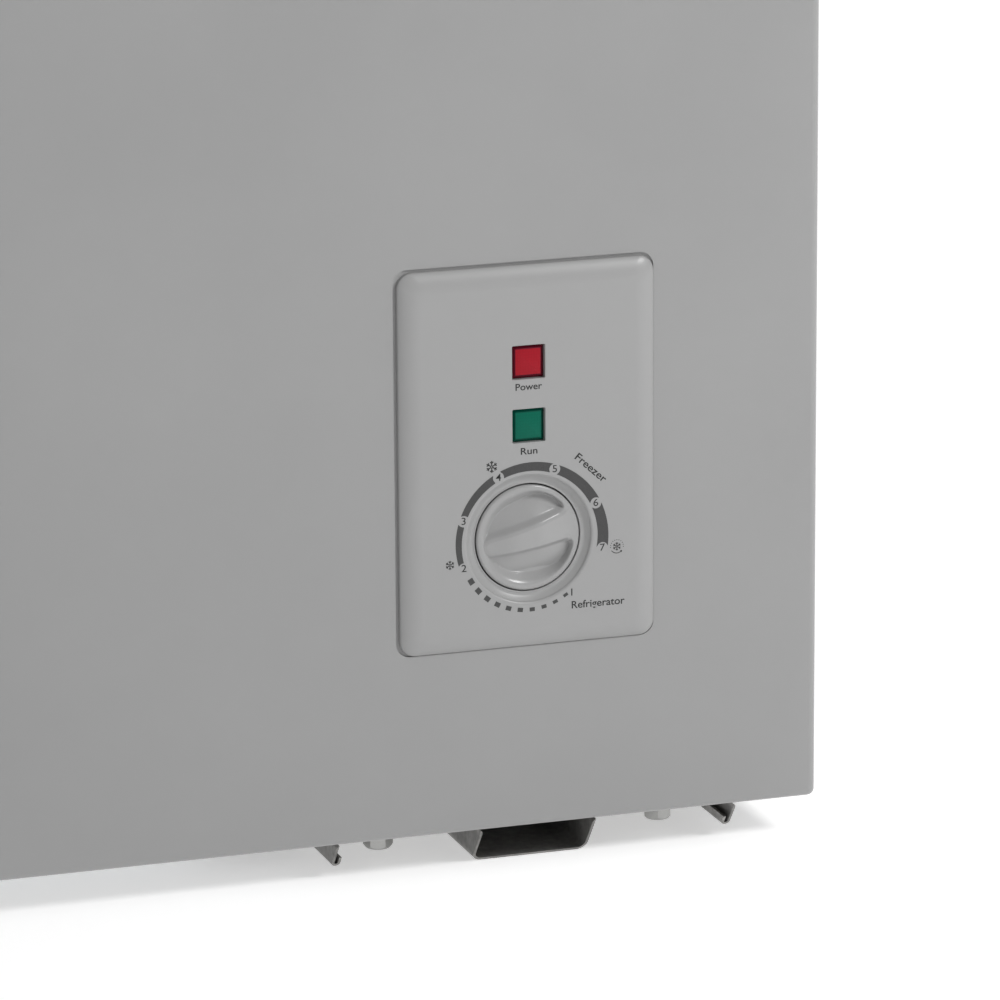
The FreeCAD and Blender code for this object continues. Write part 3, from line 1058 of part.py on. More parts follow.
# ---------------------------------------------------------------- build everything
def build():
    save("outer_shell", outer_shell())
    save("back_panel", back_panel())
    save("bottom_panel", bottom_panel())
    save("machine_bay_liner", bay_liner())
    save("inner_liner", inner_liner())
    save("insulation_foam", insulation_foam())
    save("rim_frame", rim_frame())

    save("compressor_rail", rail(RAIL_X, compressor_bolt_places()))
    save("left_foot_rail", rail(-RAIL_X, []))
    save("rail_bolts", rail_bolts())
    save("rear_cross_member", rear_cross_member())

    save("evaporator_tube", pipe(evaporator_points(), 16.0, EVAPORATOR_TUBE))
    save("condenser_tube", pipe(condenser_points(), [18.0] * 17 + [8.0, 8.0], CONDENSER_TUBE))
    lower, upper, pump = compressor()
    save("compressor_lower_shell", lower)
    save("compressor_upper_shell", upper)
    save("compressor_motor_pump", pump)
    grommets, mount_bolts = compressor_mounts()
    save("compressor_grommets", grommets)
    save("compressor_bolts", mount_bolts)
    for name, shape in circuit_pieces().items():
        save(name, shape)

    tube, plug, cap = drain()
    save("drain_pipe", tube)
    save("drain_plug", plug)
    save("drain_cap", cap)

    save("control_plate", control_plate())
    save("power_lamp_lens", lamp_lens(lamp_levels()[0]))
    save("run_lamp_lens", lamp_lens(lamp_levels()[1]))
    save("lamp_housings", lamp_housings())
    housing, shaft = thermostat()
    save("thermostat_body", housing)
    save("thermostat_shaft", knob_turned(shaft))
    save("thermostat_knob", knob())
    bulb, block, loom, gland = wiring()
    save("thermostat_bulb_tube", bulb)
    save("terminal_block", block)
    save("wiring_loom", loom)
    save("mains_inlet_gland", gland)

    save("rear_grille", rear_grille())
    save("side_grille", side_grille())

    save("lid_skin", lid_skin())
    save("lid_frame", lid_frame())
    save("lid_gasket", lid_gasket())
    save("lid_inner_panel", lid_inner_panel())
    save("lid_foam", lid_foam())
    save("lid_handle", lid_handle())
    barrel, cam, strike = lid_lock()
    save("lock_barrel", barrel)
    save("lock_cam", cam)
    save("lock_strike", strike)
    save("cabinet_screws", group(cabinet_screws()))
    for name, shape in hinges().items():
        save(name, shape)

    save("basket_wires", basket())
    save("basket_grips", basket_grips())


build()
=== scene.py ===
"""Looks of a chest freezer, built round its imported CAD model.

Every length is in metres in the CAD's frame: the front faces -Y, +X is to the right, +Z is up.
Pieces that the CAD draws plainly are rebuilt here with their real soft shapes, and every other
node gets its own finish.
"""

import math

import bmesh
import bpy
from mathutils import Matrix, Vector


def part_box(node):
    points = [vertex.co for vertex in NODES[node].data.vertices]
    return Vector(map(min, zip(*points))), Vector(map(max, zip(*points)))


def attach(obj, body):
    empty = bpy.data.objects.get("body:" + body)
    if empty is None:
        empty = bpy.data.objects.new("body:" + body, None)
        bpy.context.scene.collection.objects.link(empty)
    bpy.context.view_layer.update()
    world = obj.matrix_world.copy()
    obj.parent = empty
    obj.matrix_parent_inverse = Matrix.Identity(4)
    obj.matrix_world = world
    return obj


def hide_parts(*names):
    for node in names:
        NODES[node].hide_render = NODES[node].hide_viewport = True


bl_info = {
    "name": "Chest Freezer",
    "version": (1, 0, 0),
    "blender": (4, 5, 0),
    "location": "View3D > Sidebar > Freezer",
    "description": "Builds the visible pieces, finishes and studio of a chest freezer round its CAD frame",
    "category": "Add Mesh",
}

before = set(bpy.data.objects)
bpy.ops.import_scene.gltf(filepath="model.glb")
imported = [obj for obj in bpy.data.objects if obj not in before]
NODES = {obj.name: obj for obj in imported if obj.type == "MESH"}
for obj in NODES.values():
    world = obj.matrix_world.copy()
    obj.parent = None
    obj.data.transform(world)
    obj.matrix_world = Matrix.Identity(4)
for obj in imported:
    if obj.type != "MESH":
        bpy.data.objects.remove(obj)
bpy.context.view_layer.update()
MM = 0.001
TAU = 2 * math.pi


# ------------------------------------------------------------------ places read from the frame
def centre_of(node):
    low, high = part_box(node)
    return (low + high) / 2


SHELL_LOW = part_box("outer_shell")[0]
FRONT_Y = SHELL_LOW.y
PLATE_LOW, PLATE_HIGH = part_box("control_plate")
PLATE_FACE_Y = PLATE_LOW.y
PLATE_X = (PLATE_LOW.x + PLATE_HIGH.x) / 2
DIAL = Vector((centre_of("thermostat_shaft").x, PLATE_FACE_Y, centre_of("thermostat_shaft").z))


# ------------------------------------------------------------------ settings a user would change
def length(name, description, default):
    return bpy.props.FloatProperty(
        name=name, description=description, default=default, min=0.0, unit="LENGTH")


def turning(name, description, degrees):
    return bpy.props.FloatProperty(
        name=name, description=description, default=math.radians(degrees), subtype="ANGLE")


def amount(name, description, default, lowest=0.0):
    return bpy.props.FloatProperty(name=name, description=description, default=default, min=lowest)


def colour(name, description, default):
    return bpy.props.FloatVectorProperty(
        name=name, description=description, default=default, size=3, min=0.0, max=1.0, subtype="COLOR")


class CabinetSettings(bpy.types.PropertyGroup):
    """Painted sheet of the cabinet and the lid."""

    paint: colour("Cabinet paint", "Colour of the painted sheet", (0.29, 0.29, 0.29))
    peel_pitch: length("Orange peel pitch", "Width of one ripple in the paint", 1.6 * MM)


class ControlSettings(bpy.types.PropertyGroup):
    """Moulded plate with the dial, its print and the two lamps."""

    plastic: colour("Plate plastic", "Colour of the moulded plate and the knob", (0.315, 0.315, 0.315))
    ink: colour("Ink", "Colour of the printed scale", (0.048, 0.048, 0.048))
    fine_ink: colour("Fine ink", "Colour of the printed words, numbers and flakes", (0.012, 0.012, 0.012))
    corner: length("Plate corner", "Outline radius of the plate's corners", 6.0 * MM)
    pillow: length("Pillow edge", "Width of the soft bevel round the plate", 8.5 * MM)
    lamp: length("Lamp window", "Width of a lamp window", 13.0 * MM)
    dish: length("Dish radius", "Radius of the dial's seat at the plate's face", 24.6 * MM)
    dish_depth: length("Dish depth", "Depth of the dial's seat", 2.6 * MM)
    flange: length("Flange", "How far the plate reaches behind the sheet all round", 3.0 * MM)
    ring_in: length("Scale radius", "Inner radius of the printed arc", 27.1 * MM)
    ring_thin: length("Scale thin end", "Width of the arc half a turn from its thick end", 2.4 * MM)
    ring_thick: length("Scale thick end", "Width of the printed arc at the right", 4.3 * MM)
    print_height: length("Print height", "Thickness of the printed ink", 0.05 * MM)
    letter: length("Letter height", "Height of the capitals", 2.75 * MM)
    red: colour("Power lamp", "Colour of the power lamp's lens", (0.33, 0.008, 0.018))
    green: colour("Run lamp", "Colour of the run lamp's lens", (0.0, 0.115, 0.072))


class LidSettings(bpy.types.PropertyGroup):
    """Lid, gasket and handle."""

    inner: colour("Inner plastic", "Colour of the liner and the lid's inner panel", (0.78, 0.79, 0.80))
    seal: colour("Gasket", "Colour of the soft seal", (0.42, 0.42, 0.43))


class StageSettings(bpy.types.PropertyGroup):
    """Floor, lights and camera."""

    floor: colour("Floor", "Colour of the plain floor", (0.86, 0.86, 0.86))
    glow: amount("Floor glow", "Light from under the floor sheet", 0.45)
    ambient: amount("Ambient", "Strength of the light from all round", 0.44)
    focal: amount("Focal length", "Camera lens, in millimetres", 230.3, 1.0)
    distance: length("Camera distance", "From the camera to the point it looks at", 2.411)
    yaw: turning("Yaw", "Turn to the right", 18.46)
    pitch: turning("Pitch", "Tilt down", 14.51)
    roll: turning("Roll", "Turn about the line of sight", -0.359)


def settings():
    return bpy.context.scene.freezer


class FreezerSettings(bpy.types.PropertyGroup):
    """All the settings of the freezer."""

    cabinet: bpy.props.PointerProperty(type=CabinetSettings)
    controls: bpy.props.PointerProperty(type=ControlSettings)
    lid: bpy.props.PointerProperty(type=LidSettings)
    stage: bpy.props.PointerProperty(type=StageSettings)


# ------------------------------------------------------------------ mesh helpers
def from_bmesh(name, bm, sharp=math.radians(35)):
    mesh = bpy.data.meshes.new(name)
    bmesh.ops.recalc_face_normals(bm, faces=bm.faces)
    bm.to_mesh(mesh)
    bm.free()
    piece = bpy.data.objects.new(name, mesh)
    bpy.context.scene.collection.objects.link(piece)
    mesh.shade_smooth()
    mesh.set_sharp_from_angle(angle=sharp)
    return piece


def weigh_normals(piece):
    """Lets the large flat faces set the normals, so that the bends beside them shade evenly."""
    modifier = piece.modifiers.new("weigh", "WEIGHTED_NORMAL")
    modifier.keep_sharp = True


def arc_points(centre, radius, start, end, steps):
    """Points of an arc in a plane, from one angle to another, ends included."""
    return [(centre[0] + radius * math.cos(start + (end - start) * k / steps),
             centre[1] + radius * math.sin(start + (end - start) * k / steps)) for k in range(steps + 1)]


def rounded_outline(half_width, half_height, radius, steps=12, centre=(0.0, 0.0)):
    """Closed outline of a rounded rectangle, anticlockwise, as points in a plane."""
    points = []
    for k, (sx, sy) in enumerate(((1, 1), (-1, 1), (-1, -1), (1, -1))):
        middle = (centre[0] + sx * (half_width - radius), centre[1] + sy * (half_height - radius))
        points += arc_points(middle, radius, k * math.pi / 2, (k + 1) * math.pi / 2, steps)
    return points


def upright(points, y):
    """Plane points placed in an upright plane at a depth."""
    return [Vector((u, y, v)) for u, v in points]


def level(points, z):
    """Plane points placed in a level plane at a height."""
    return [Vector((u, v, z)) for u, v in points]


def add_rings(bm, rings, closed=True):
    """Adds rings of equal length joined by quads, and returns their vertices."""
    placed = [[bm.verts.new(p) for p in ring] for ring in rings]
    count = len(placed[0])
    last = count if closed else count - 1
    for near, far in zip(placed, placed[1:]):
        for k in range(last):
            bm.faces.new((near[k], near[(k + 1) % count], far[(k + 1) % count], far[k]))
    return placed


def ring_edges(bm, ring):
    """The edges round a ring of vertices, made where they don't exist yet."""
    edges = []
    for a, b in zip(ring, ring[1:] + ring[:1]):
        edges.append(bm.edges.get((a, b)) or bm.edges.new((a, b)))
    return edges


def fill_between(bm, *rings):
    """Fills the flat region bounded by an outer ring and any rings of holes."""
    edges = [e for ring in rings for e in ring_edges(bm, ring)]
    bmesh.ops.triangle_fill(bm, edges=edges, use_beauty=True)


def lathe(bm, profile, centre, axis, steps=96):
    """Revolves (radius, height along the axis) points about an axis, and returns the rings."""
    axis = Vector(axis).normalized()
    side = axis.orthogonal().normalized()
    other = axis.cross(side)
    rings = []
    for radius, height in profile:
        hub = centre + axis * height
        rings.append([hub + (side * math.cos(TAU * k / steps) + other * math.sin(TAU * k / steps)) * radius
                      for k in range(steps)])
    return add_rings(bm, rings)


def settle(piece, body, material, replaces=()):
    """Puts a finish on a piece, makes it ride on its body and hides the CAD nodes it stands for."""
    piece.data.materials.clear()
    piece.data.materials.append(material)
    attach(piece, body)
    if replaces:
        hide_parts(*replaces)


# ------------------------------------------------------------------ node groups and materials
def group(name, inputs, outputs):
    """Empty shader node group with float, colour or vector sockets, and its two end nodes."""
    tree = bpy.data.node_groups.new(name, "ShaderNodeTree")
    kinds = {"float": "NodeSocketFloat", "colour": "NodeSocketColor", "vector": "NodeSocketVector"}
    for label, kind, default in inputs:
        socket = tree.interface.new_socket(name=label, in_out="INPUT", socket_type=kinds[kind])
        socket.default_value = default
    for label, kind in outputs:
        tree.interface.new_socket(name=label, in_out="OUTPUT", socket_type=kinds[kind])
    return tree, tree.nodes.new("NodeGroupInput"), tree.nodes.new("NodeGroupOutput")


def add(tree, kind, **values):
    """New node with its properties and unlinked inputs set by name; an input's name may use _ for a space."""
    node = tree.nodes.new(kind)
    for key, value in values.items():
        if hasattr(node, key):
            setattr(node, key, value)
        else:
            node.inputs[key.replace("_", " ")].default_value = value
    return node


def wire(tree, source, target):
    tree.links.new(source, target)


def math_node(tree, operation, first, second):
    """Math node whose inputs are sockets or numbers."""
    node = tree.nodes.new("ShaderNodeMath")
    node.operation = operation
    for socket, value in zip(node.inputs, (first, second)):
        if isinstance(value, (int, float)):
            socket.default_value = value
        else:
            tree.links.new(value, socket)
    return node.outputs[0]


def mix_colours(tree, factor, first, second, blend="MIX"):
    """Mixes two colours, each a socket or three numbers, by a factor socket or number."""
    node = tree.nodes.new("ShaderNodeMix")
    node.data_type, node.blend_type = "RGBA", blend
    for socket, value in ((node.inputs[0], factor), (node.inputs[6], first), (node.inputs[7], second)):
        if isinstance(value, (int, float)):
            socket.default_value = value
        elif isinstance(value, tuple):
            socket.default_value = (*value, 1.0)
        else:
            tree.links.new(value, socket)
    return node.outputs[2]


def fine_grain_group():
    """Even speckle of a moulded or painted surface: a height and a slow mottle, from a pitch in metres."""
    tree, inlet, outlet = group("fine_grain", [("Pitch", "float", 0.001), ("Mottle Pitch", "float", 0.08)],
                                [("Height", "float"), ("Mottle", "float")])
    place = add(tree, "ShaderNodeTexCoord")
    for label, socket_name, detail in (("Height", "Pitch", 2.0), ("Mottle", "Mottle Pitch", 3.0)):
        speckle = add(tree, "ShaderNodeTexNoise", Detail=detail, Roughness=0.55)
        wire(tree, place.outputs["Object"], speckle.inputs["Vector"])
        wire(tree, math_node(tree, "DIVIDE", 1.0, inlet.outputs[socket_name]), speckle.inputs["Scale"])
        wire(tree, speckle.outputs["Fac"], outlet.inputs[label])
    return tree


def wear_and_shade_masks_group():
    """Masks of bare edges and of hollows, from how sharply the surface turns; the hollow mask lays grime on
    plated steel and painted shade on plastic and lenses.
    """
    tree, inlet, outlet = group("wear_and_shade_masks", [("Amount", "float", 0.5), ("Patch Pitch", "float", 0.01)],
                                [("Edge", "float"), ("Hollow", "float")])
    surface = add(tree, "ShaderNodeNewGeometry")
    place = add(tree, "ShaderNodeTexCoord")
    patch = add(tree, "ShaderNodeTexNoise", Detail=4.0, Roughness=0.6)
    wire(tree, place.outputs["Object"], patch.inputs["Vector"])
    wire(tree, math_node(tree, "DIVIDE", 1.0, inlet.outputs["Patch Pitch"]), patch.inputs["Scale"])
    turn = math_node(tree, "SUBTRACT", surface.outputs["Pointiness"], 0.5)
    for label, sign in (("Edge", 9.0), ("Hollow", -9.0)):
        strength = math_node(tree, "MULTIPLY", turn, sign)
        share = math_node(tree, "MULTIPLY", patch.outputs["Fac"], inlet.outputs["Amount"])
        strength = math_node(tree, "MULTIPLY", strength, share)
        clamp = add(tree, "ShaderNodeClamp")
        wire(tree, strength, clamp.inputs["Value"])
        wire(tree, clamp.outputs[0], outlet.inputs[label])
    return tree


def dust_group():
    """Mask of dust that settles on surfaces facing up, in soft patches."""
    tree, inlet, outlet = group("settled_dust", [("Amount", "float", 0.3)], [("Dust", "float")])
    surface = add(tree, "ShaderNodeNewGeometry")
    split = add(tree, "ShaderNodeSeparateXYZ")
    wire(tree, surface.outputs["Normal"], split.inputs[0])
    place = add(tree, "ShaderNodeTexCoord")
    patch = add(tree, "ShaderNodeTexNoise", Scale=24.0, Detail=6.0, Roughness=0.7)
    wire(tree, place.outputs["Object"], patch.inputs["Vector"])
    up = add(tree, "ShaderNodeClamp")
    wire(tree, split.outputs["Z"], up.inputs["Value"])
    share = math_node(tree, "MULTIPLY", up.outputs[0], patch.outputs["Fac"])
    wire(tree, math_node(tree, "MULTIPLY", share, inlet.outputs["Amount"]), outlet.inputs["Dust"])
    return tree


def effect(tree, name, maker, **values):
    """Places a shared node group, made the first time, in a material with its own values."""
    node = tree.nodes.new("ShaderNodeGroup")
    node.node_tree = bpy.data.node_groups.get(name) or maker()
    for key, value in values.items():
        node.inputs[key.replace("_", " ")].default_value = value
    return node


def fine_grain(tree, pitch, mottle_pitch):
    return effect(tree, "fine_grain", fine_grain_group, Pitch=pitch, Mottle_Pitch=mottle_pitch)


def wear_and_shade_masks(tree, amount, patch_pitch):
    return effect(tree, "wear_and_shade_masks", wear_and_shade_masks_group, Amount=amount, Patch_Pitch=patch_pitch)


def settled_dust(tree, amount):
    return effect(tree, "settled_dust", dust_group, Amount=amount)


def surface_material(name, **constants):
    """Material with one Principled BSDF whose constant sockets are set directly."""
    material = bpy.data.materials.new(name)
    material.use_nodes = True
    shader = material.node_tree.nodes["Principled BSDF"]
    for key, value in constants.items():
        socket = shader.inputs[key.replace("_", " ")]
        socket.default_value = (*value, 1.0) if isinstance(value, tuple) else value
    return material, material.node_tree, shader


def bump(tree, shader, height, strength, distance):
    """Feeds a height through a Bump node to the shader."""
    node = add(tree, "ShaderNodeBump", Strength=strength, Distance=distance)
    wire(tree, height, node.inputs["Height"])
    wire(tree, node.outputs["Normal"], shader.inputs["Normal"])


def cells_of(tree, **values):
    """Voronoi cells fixed to the piece."""
    place = add(tree, "ShaderNodeTexCoord")
    cells = add(tree, "ShaderNodeTexVoronoi", **values)
    wire(tree, place.outputs["Object"], cells.inputs["Vector"])
    return cells


MASK_LOW, MASK_HIGH = 0.35, 0.65  # where nearly all values of a noise lie
ENAMEL_DUST, PLASTIC_DUST, RAIL_DUST = (0.62, 0.60, 0.56), (0.6, 0.58, 0.54), (0.25, 0.24, 0.22)
GRIME = (0.12, 0.11, 0.10)
BRIGHT_COPPER, BROWN_COPPER = (0.63, 0.29, 0.16), (0.30, 0.12, 0.06)
FOAM_WALL, FOAM_PIT = (0.72, 0.60, 0.34), (0.50, 0.38, 0.18)


def ranged(tree, value, low, high, from_low=MASK_LOW, from_high=MASK_HIGH):
    """Maps a mask to a range."""
    node = add(tree, "ShaderNodeMapRange")
    node.inputs["From Min"].default_value, node.inputs["From Max"].default_value = from_low, from_high
    node.inputs["To Min"].default_value, node.inputs["To Max"].default_value = low, high
    wire(tree, value, node.inputs["Value"])
    return node.outputs["Result"]


def scaled_tone(tree, tone, grey):
    """A tone multiplied by a grey that comes from a socket."""
    return mix_colours(tree, 1.0, tuple(tone), grey, "MULTIPLY")


def shade_of(tone, scale, lift=0.0):
    """A tone made darker or paler."""
    return tuple(min(1.0, c * scale + lift) for c in tone)


def colour_in(tree, shader, source):
    wire(tree, source, shader.inputs["Base Color"])


def roughen(tree, shader, mask, low, high, from_low=MASK_LOW, from_high=MASK_HIGH):
    """Varies the roughness over a range by a mask."""
    wire(tree, ranged(tree, mask, low, high, from_low, from_high), shader.inputs["Roughness"])


def painted_sheet(name, tone, pitch, roughness=0.34, peel=0.1, dust=0.12):
    """Baked enamel on sheet steel: fine orange peel, faint mottle and dust on top faces."""
    material, tree, shader = surface_material(name, Coat_Weight=0.25, Coat_Roughness=0.18, IOR=1.5)
    grain = fine_grain(tree, pitch, 90 * MM)
    settled = settled_dust(tree, dust)
    base = scaled_tone(tree, tone, ranged(tree, grain.outputs["Mottle"], 0.975, 1.02))
    colour_in(tree, shader, mix_colours(tree, settled.outputs["Dust"], base, ENAMEL_DUST))
    roughen(tree, shader, grain.outputs["Mottle"], roughness - 0.03, roughness + 0.04)
    bump(tree, shader, grain.outputs["Height"], peel, 0.12 * MM)
    return material


def moulded_plastic(name, tone, roughness=0.4, grain_pitch=0.6 * MM, grain_strength=0.12, wear=0.2, dust=0.1):
    """Injection moulded plastic with a fine spark grain, slightly paler worn edges, painted shade in its
    hollows and dust.
    """
    material, tree, shader = surface_material(name, IOR=1.5)
    grain = fine_grain(tree, grain_pitch, 50 * MM)
    wear_and_shade = wear_and_shade_masks(tree, wear, 12 * MM)
    settled = settled_dust(tree, dust)
    base = scaled_tone(tree, tone, ranged(tree, grain.outputs["Mottle"], 0.99, 1.008))
    pale = shade_of(tone, 1.18, 0.02)
    # deep is the plastic's tone darkened for hollows and creases: painted shade, laid on by the hollow mask
    # below.
    deep = shade_of(tone, 0.72)
    base = mix_colours(tree, wear_and_shade.outputs["Edge"], base, pale)
    base = mix_colours(tree, wear_and_shade.outputs["Hollow"], base, deep)
    colour_in(tree, shader, mix_colours(tree, settled.outputs["Dust"], base, PLASTIC_DUST))
    roughen(tree, shader, grain.outputs["Mottle"], roughness - 0.02, roughness + 0.02)
    bump(tree, shader, grain.outputs["Height"], grain_strength, 0.06 * MM)
    return material


def galvanised(name, tone=(0.52, 0.54, 0.55)):
    """Zinc coated sheet: angular spangle whose flakes differ in tone and gloss."""
    material, tree, shader = surface_material(name, Metallic=1.0)
    spangle = cells_of(tree, Scale=140.0, Randomness=1.0)
    tint = add(tree, "ShaderNodeSeparateColor")
    wire(tree, spangle.outputs["Color"], tint.inputs[0])
    colour_in(tree, shader, scaled_tone(tree, tone, ranged(tree, tint.outputs[0], 0.78, 1.1, 0.0, 1.0)))
    roughen(tree, shader, tint.outputs[1], 0.32, 0.52, 0.0, 1.0)
    grain = fine_grain(tree, 0.9 * MM, 60 * MM)
    bump(tree, shader, grain.outputs["Height"], 0.1, 0.08 * MM)
    return material


def plated_steel(name, tone=(0.42, 0.42, 0.41), roughness=0.34, wear=0.5):
    """Bright zinc plating on fasteners and brackets: cloudy tone, darker hollows."""
    material, tree, shader = surface_material(name, Metallic=1.0)
    grain = fine_grain(tree, 0.5 * MM, 8 * MM)
    wear_and_shade = wear_and_shade_masks(tree, wear, 4 * MM)
    base = scaled_tone(tree, tone, ranged(tree, grain.outputs["Mottle"], 0.82, 1.06))
    base = mix_colours(tree, wear_and_shade.outputs["Hollow"], base, GRIME)
    colour_in(tree, shader, base)
    roughen(tree, shader, grain.outputs["Mottle"], roughness - 0.08, roughness + 0.12)
    bump(tree, shader, grain.outputs["Height"], 0.15, 0.04 * MM)
    return material


def rolled_steel(name, tone, bare=(0.5, 0.49, 0.47), wear=0.8, roughness=0.42):
    """Dark dipped coating on pressed steel, worn to metal along cut edges."""
    material, tree, shader = surface_material(name, IOR=1.5)
    grain = fine_grain(tree, 1.4 * MM, 20 * MM)
    wear_and_shade = wear_and_shade_masks(tree, wear, 3 * MM)
    settled = settled_dust(tree, 0.25)
    base = scaled_tone(tree, tone, ranged(tree, grain.outputs["Mottle"], 0.75, 1.3))
    base = mix_colours(tree, settled.outputs["Dust"], base, RAIL_DUST)
    colour_in(tree, shader, mix_colours(tree, wear_and_shade.outputs["Edge"], base, bare))
    wire(tree, wear_and_shade.outputs["Edge"], shader.inputs["Metallic"])
    roughen(tree, shader, grain.outputs["Mottle"], roughness - 0.1, roughness + 0.1)
    bump(tree, shader, grain.outputs["Height"], 0.25, 0.1 * MM)
    return material


def copper_tube(name):
    """Drawn copper with brown oxide clouds."""
    material, tree, shader = surface_material(name, Metallic=1.0)
    grain = fine_grain(tree, 1.2 * MM, 14 * MM)
    clouds = ranged(tree, grain.outputs["Mottle"], 0.0, 1.0)
    colour_in(tree, shader, mix_colours(tree, clouds, BRIGHT_COPPER, BROWN_COPPER))
    roughen(tree, shader, grain.outputs["Mottle"], 0.22, 0.45)
    bump(tree, shader, grain.outputs["Height"], 0.08, 0.05 * MM)
    return material


def tinted_lens(name, tone):
    """Tinted translucent plastic of a lamp lens: deep colour, glossy skin, a faint inner grid and painted
    shade in its hollows.
    """
    material, tree, shader = surface_material(name, Specular_IOR_Level=0.14, IOR=1.49)
    cells = cells_of(tree, Scale=900.0, Randomness=0.15)
    wear_and_shade = wear_and_shade_masks(tree, 0.4, 3 * MM)
    base = scaled_tone(tree, tone, ranged(tree, cells.outputs["Distance"], 1.08, 0.9, 0.0, 0.7))
    # The tint darkened to 0.4 in hollows and creases is painted shade.
    colour_in(tree, shader, mix_colours(tree, wear_and_shade.outputs["Hollow"], base, shade_of(tone, 0.4)))
    roughen(tree, shader, cells.outputs["Distance"], 0.3, 0.4, 0.0, 0.7)
    bump(tree, shader, cells.outputs["Distance"], 0.05, 0.04 * MM)
    return material


def printed_ink(name, tone):
    """Pad printed ink: matte, slightly uneven."""
    material, tree, shader = surface_material(name, IOR=1.45)
    grain = fine_grain(tree, 0.25 * MM, 2 * MM)
    colour_in(tree, shader, scaled_tone(tree, tone, ranged(tree, grain.outputs["Height"], 0.85, 1.2)))
    roughen(tree, shader, grain.outputs["Mottle"], 0.5, 0.62)
    bump(tree, shader, grain.outputs["Height"], 0.1, 0.02 * MM)
    return material


def embossed_liner(name, tone, dimple=4.2 * MM, depth=0.22 * MM):
    """White coated aluminium with a stucco emboss."""
    material, tree, shader = surface_material(name, Coat_Weight=0.3, Coat_Roughness=0.2, IOR=1.5)
    stucco = cells_of(tree, feature="SMOOTH_F1", Scale=1 / dimple, Smoothness=0.7, Randomness=0.8)
    grain = fine_grain(tree, 1.1 * MM, 120 * MM)
    base = scaled_tone(tree, tone, ranged(tree, grain.outputs["Mottle"], 0.965, 1.01))
    colour_in(tree, shader, base)
    roughen(tree, shader, grain.outputs["Mottle"], 0.28, 0.36)
    bump(tree, shader, stucco.outputs["Distance"], 0.6, depth)
    return material


def rigid_foam(name):
    """Cut polyurethane foam: pale yellow cells with darker pits."""
    material, tree, shader = surface_material(name, IOR=1.4)
    cells = cells_of(tree, Scale=700.0)
    pits = ranged(tree, cells.outputs["Distance"], 0.0, 1.0, 0.1, 0.6)
    colour_in(tree, shader, mix_colours(tree, pits, FOAM_WALL, FOAM_PIT))
    roughen(tree, shader, cells.outputs["Distance"], 0.85, 0.95, 0.1, 0.6)
    bump(tree, shader, cells.outputs["Distance"], 0.8, 0.4 * MM)
    return material


def soft_rubber(name, tone, roughness=0.55):
    """Rubber or soft PVC: matte, faintly mottled, chalky on ridges."""
    material, tree, shader = surface_material(name, IOR=1.45, Sheen_Weight=0.12, Sheen_Roughness=0.5)
    grain = fine_grain(tree, 0.8 * MM, 30 * MM)
    wear_and_shade = wear_and_shade_masks(tree, 0.3, 8 * MM)
    base = scaled_tone(tree, tone, ranged(tree, grain.outputs["Mottle"], 0.9, 1.08))
    pale = shade_of(tone, 1.3, 0.03)
    colour_in(tree, shader, mix_colours(tree, wear_and_shade.outputs["Edge"], base, pale))
    roughen(tree, shader, grain.outputs["Mottle"], roughness - 0.06, roughness + 0.08)
    bump(tree, shader, grain.outputs["Height"], 0.2, 0.08 * MM)
    return material


def studio_floor(name, tone, glow):
    """Plain matte sheet, lit a little from below."""
    material, tree, shader = surface_material(
        name, IOR=1.3, Emission_Color=(1.0, 1.0, 1.0), Emission_Strength=glow)
    grain = fine_grain(tree, 2 * MM, 500 * MM)
    colour_in(tree, shader, scaled_tone(tree, tone, ranged(tree, grain.outputs["Mottle"], 0.995, 1.0)))
    roughen(tree, shader, grain.outputs["Height"], 0.8, 0.9)
    return material


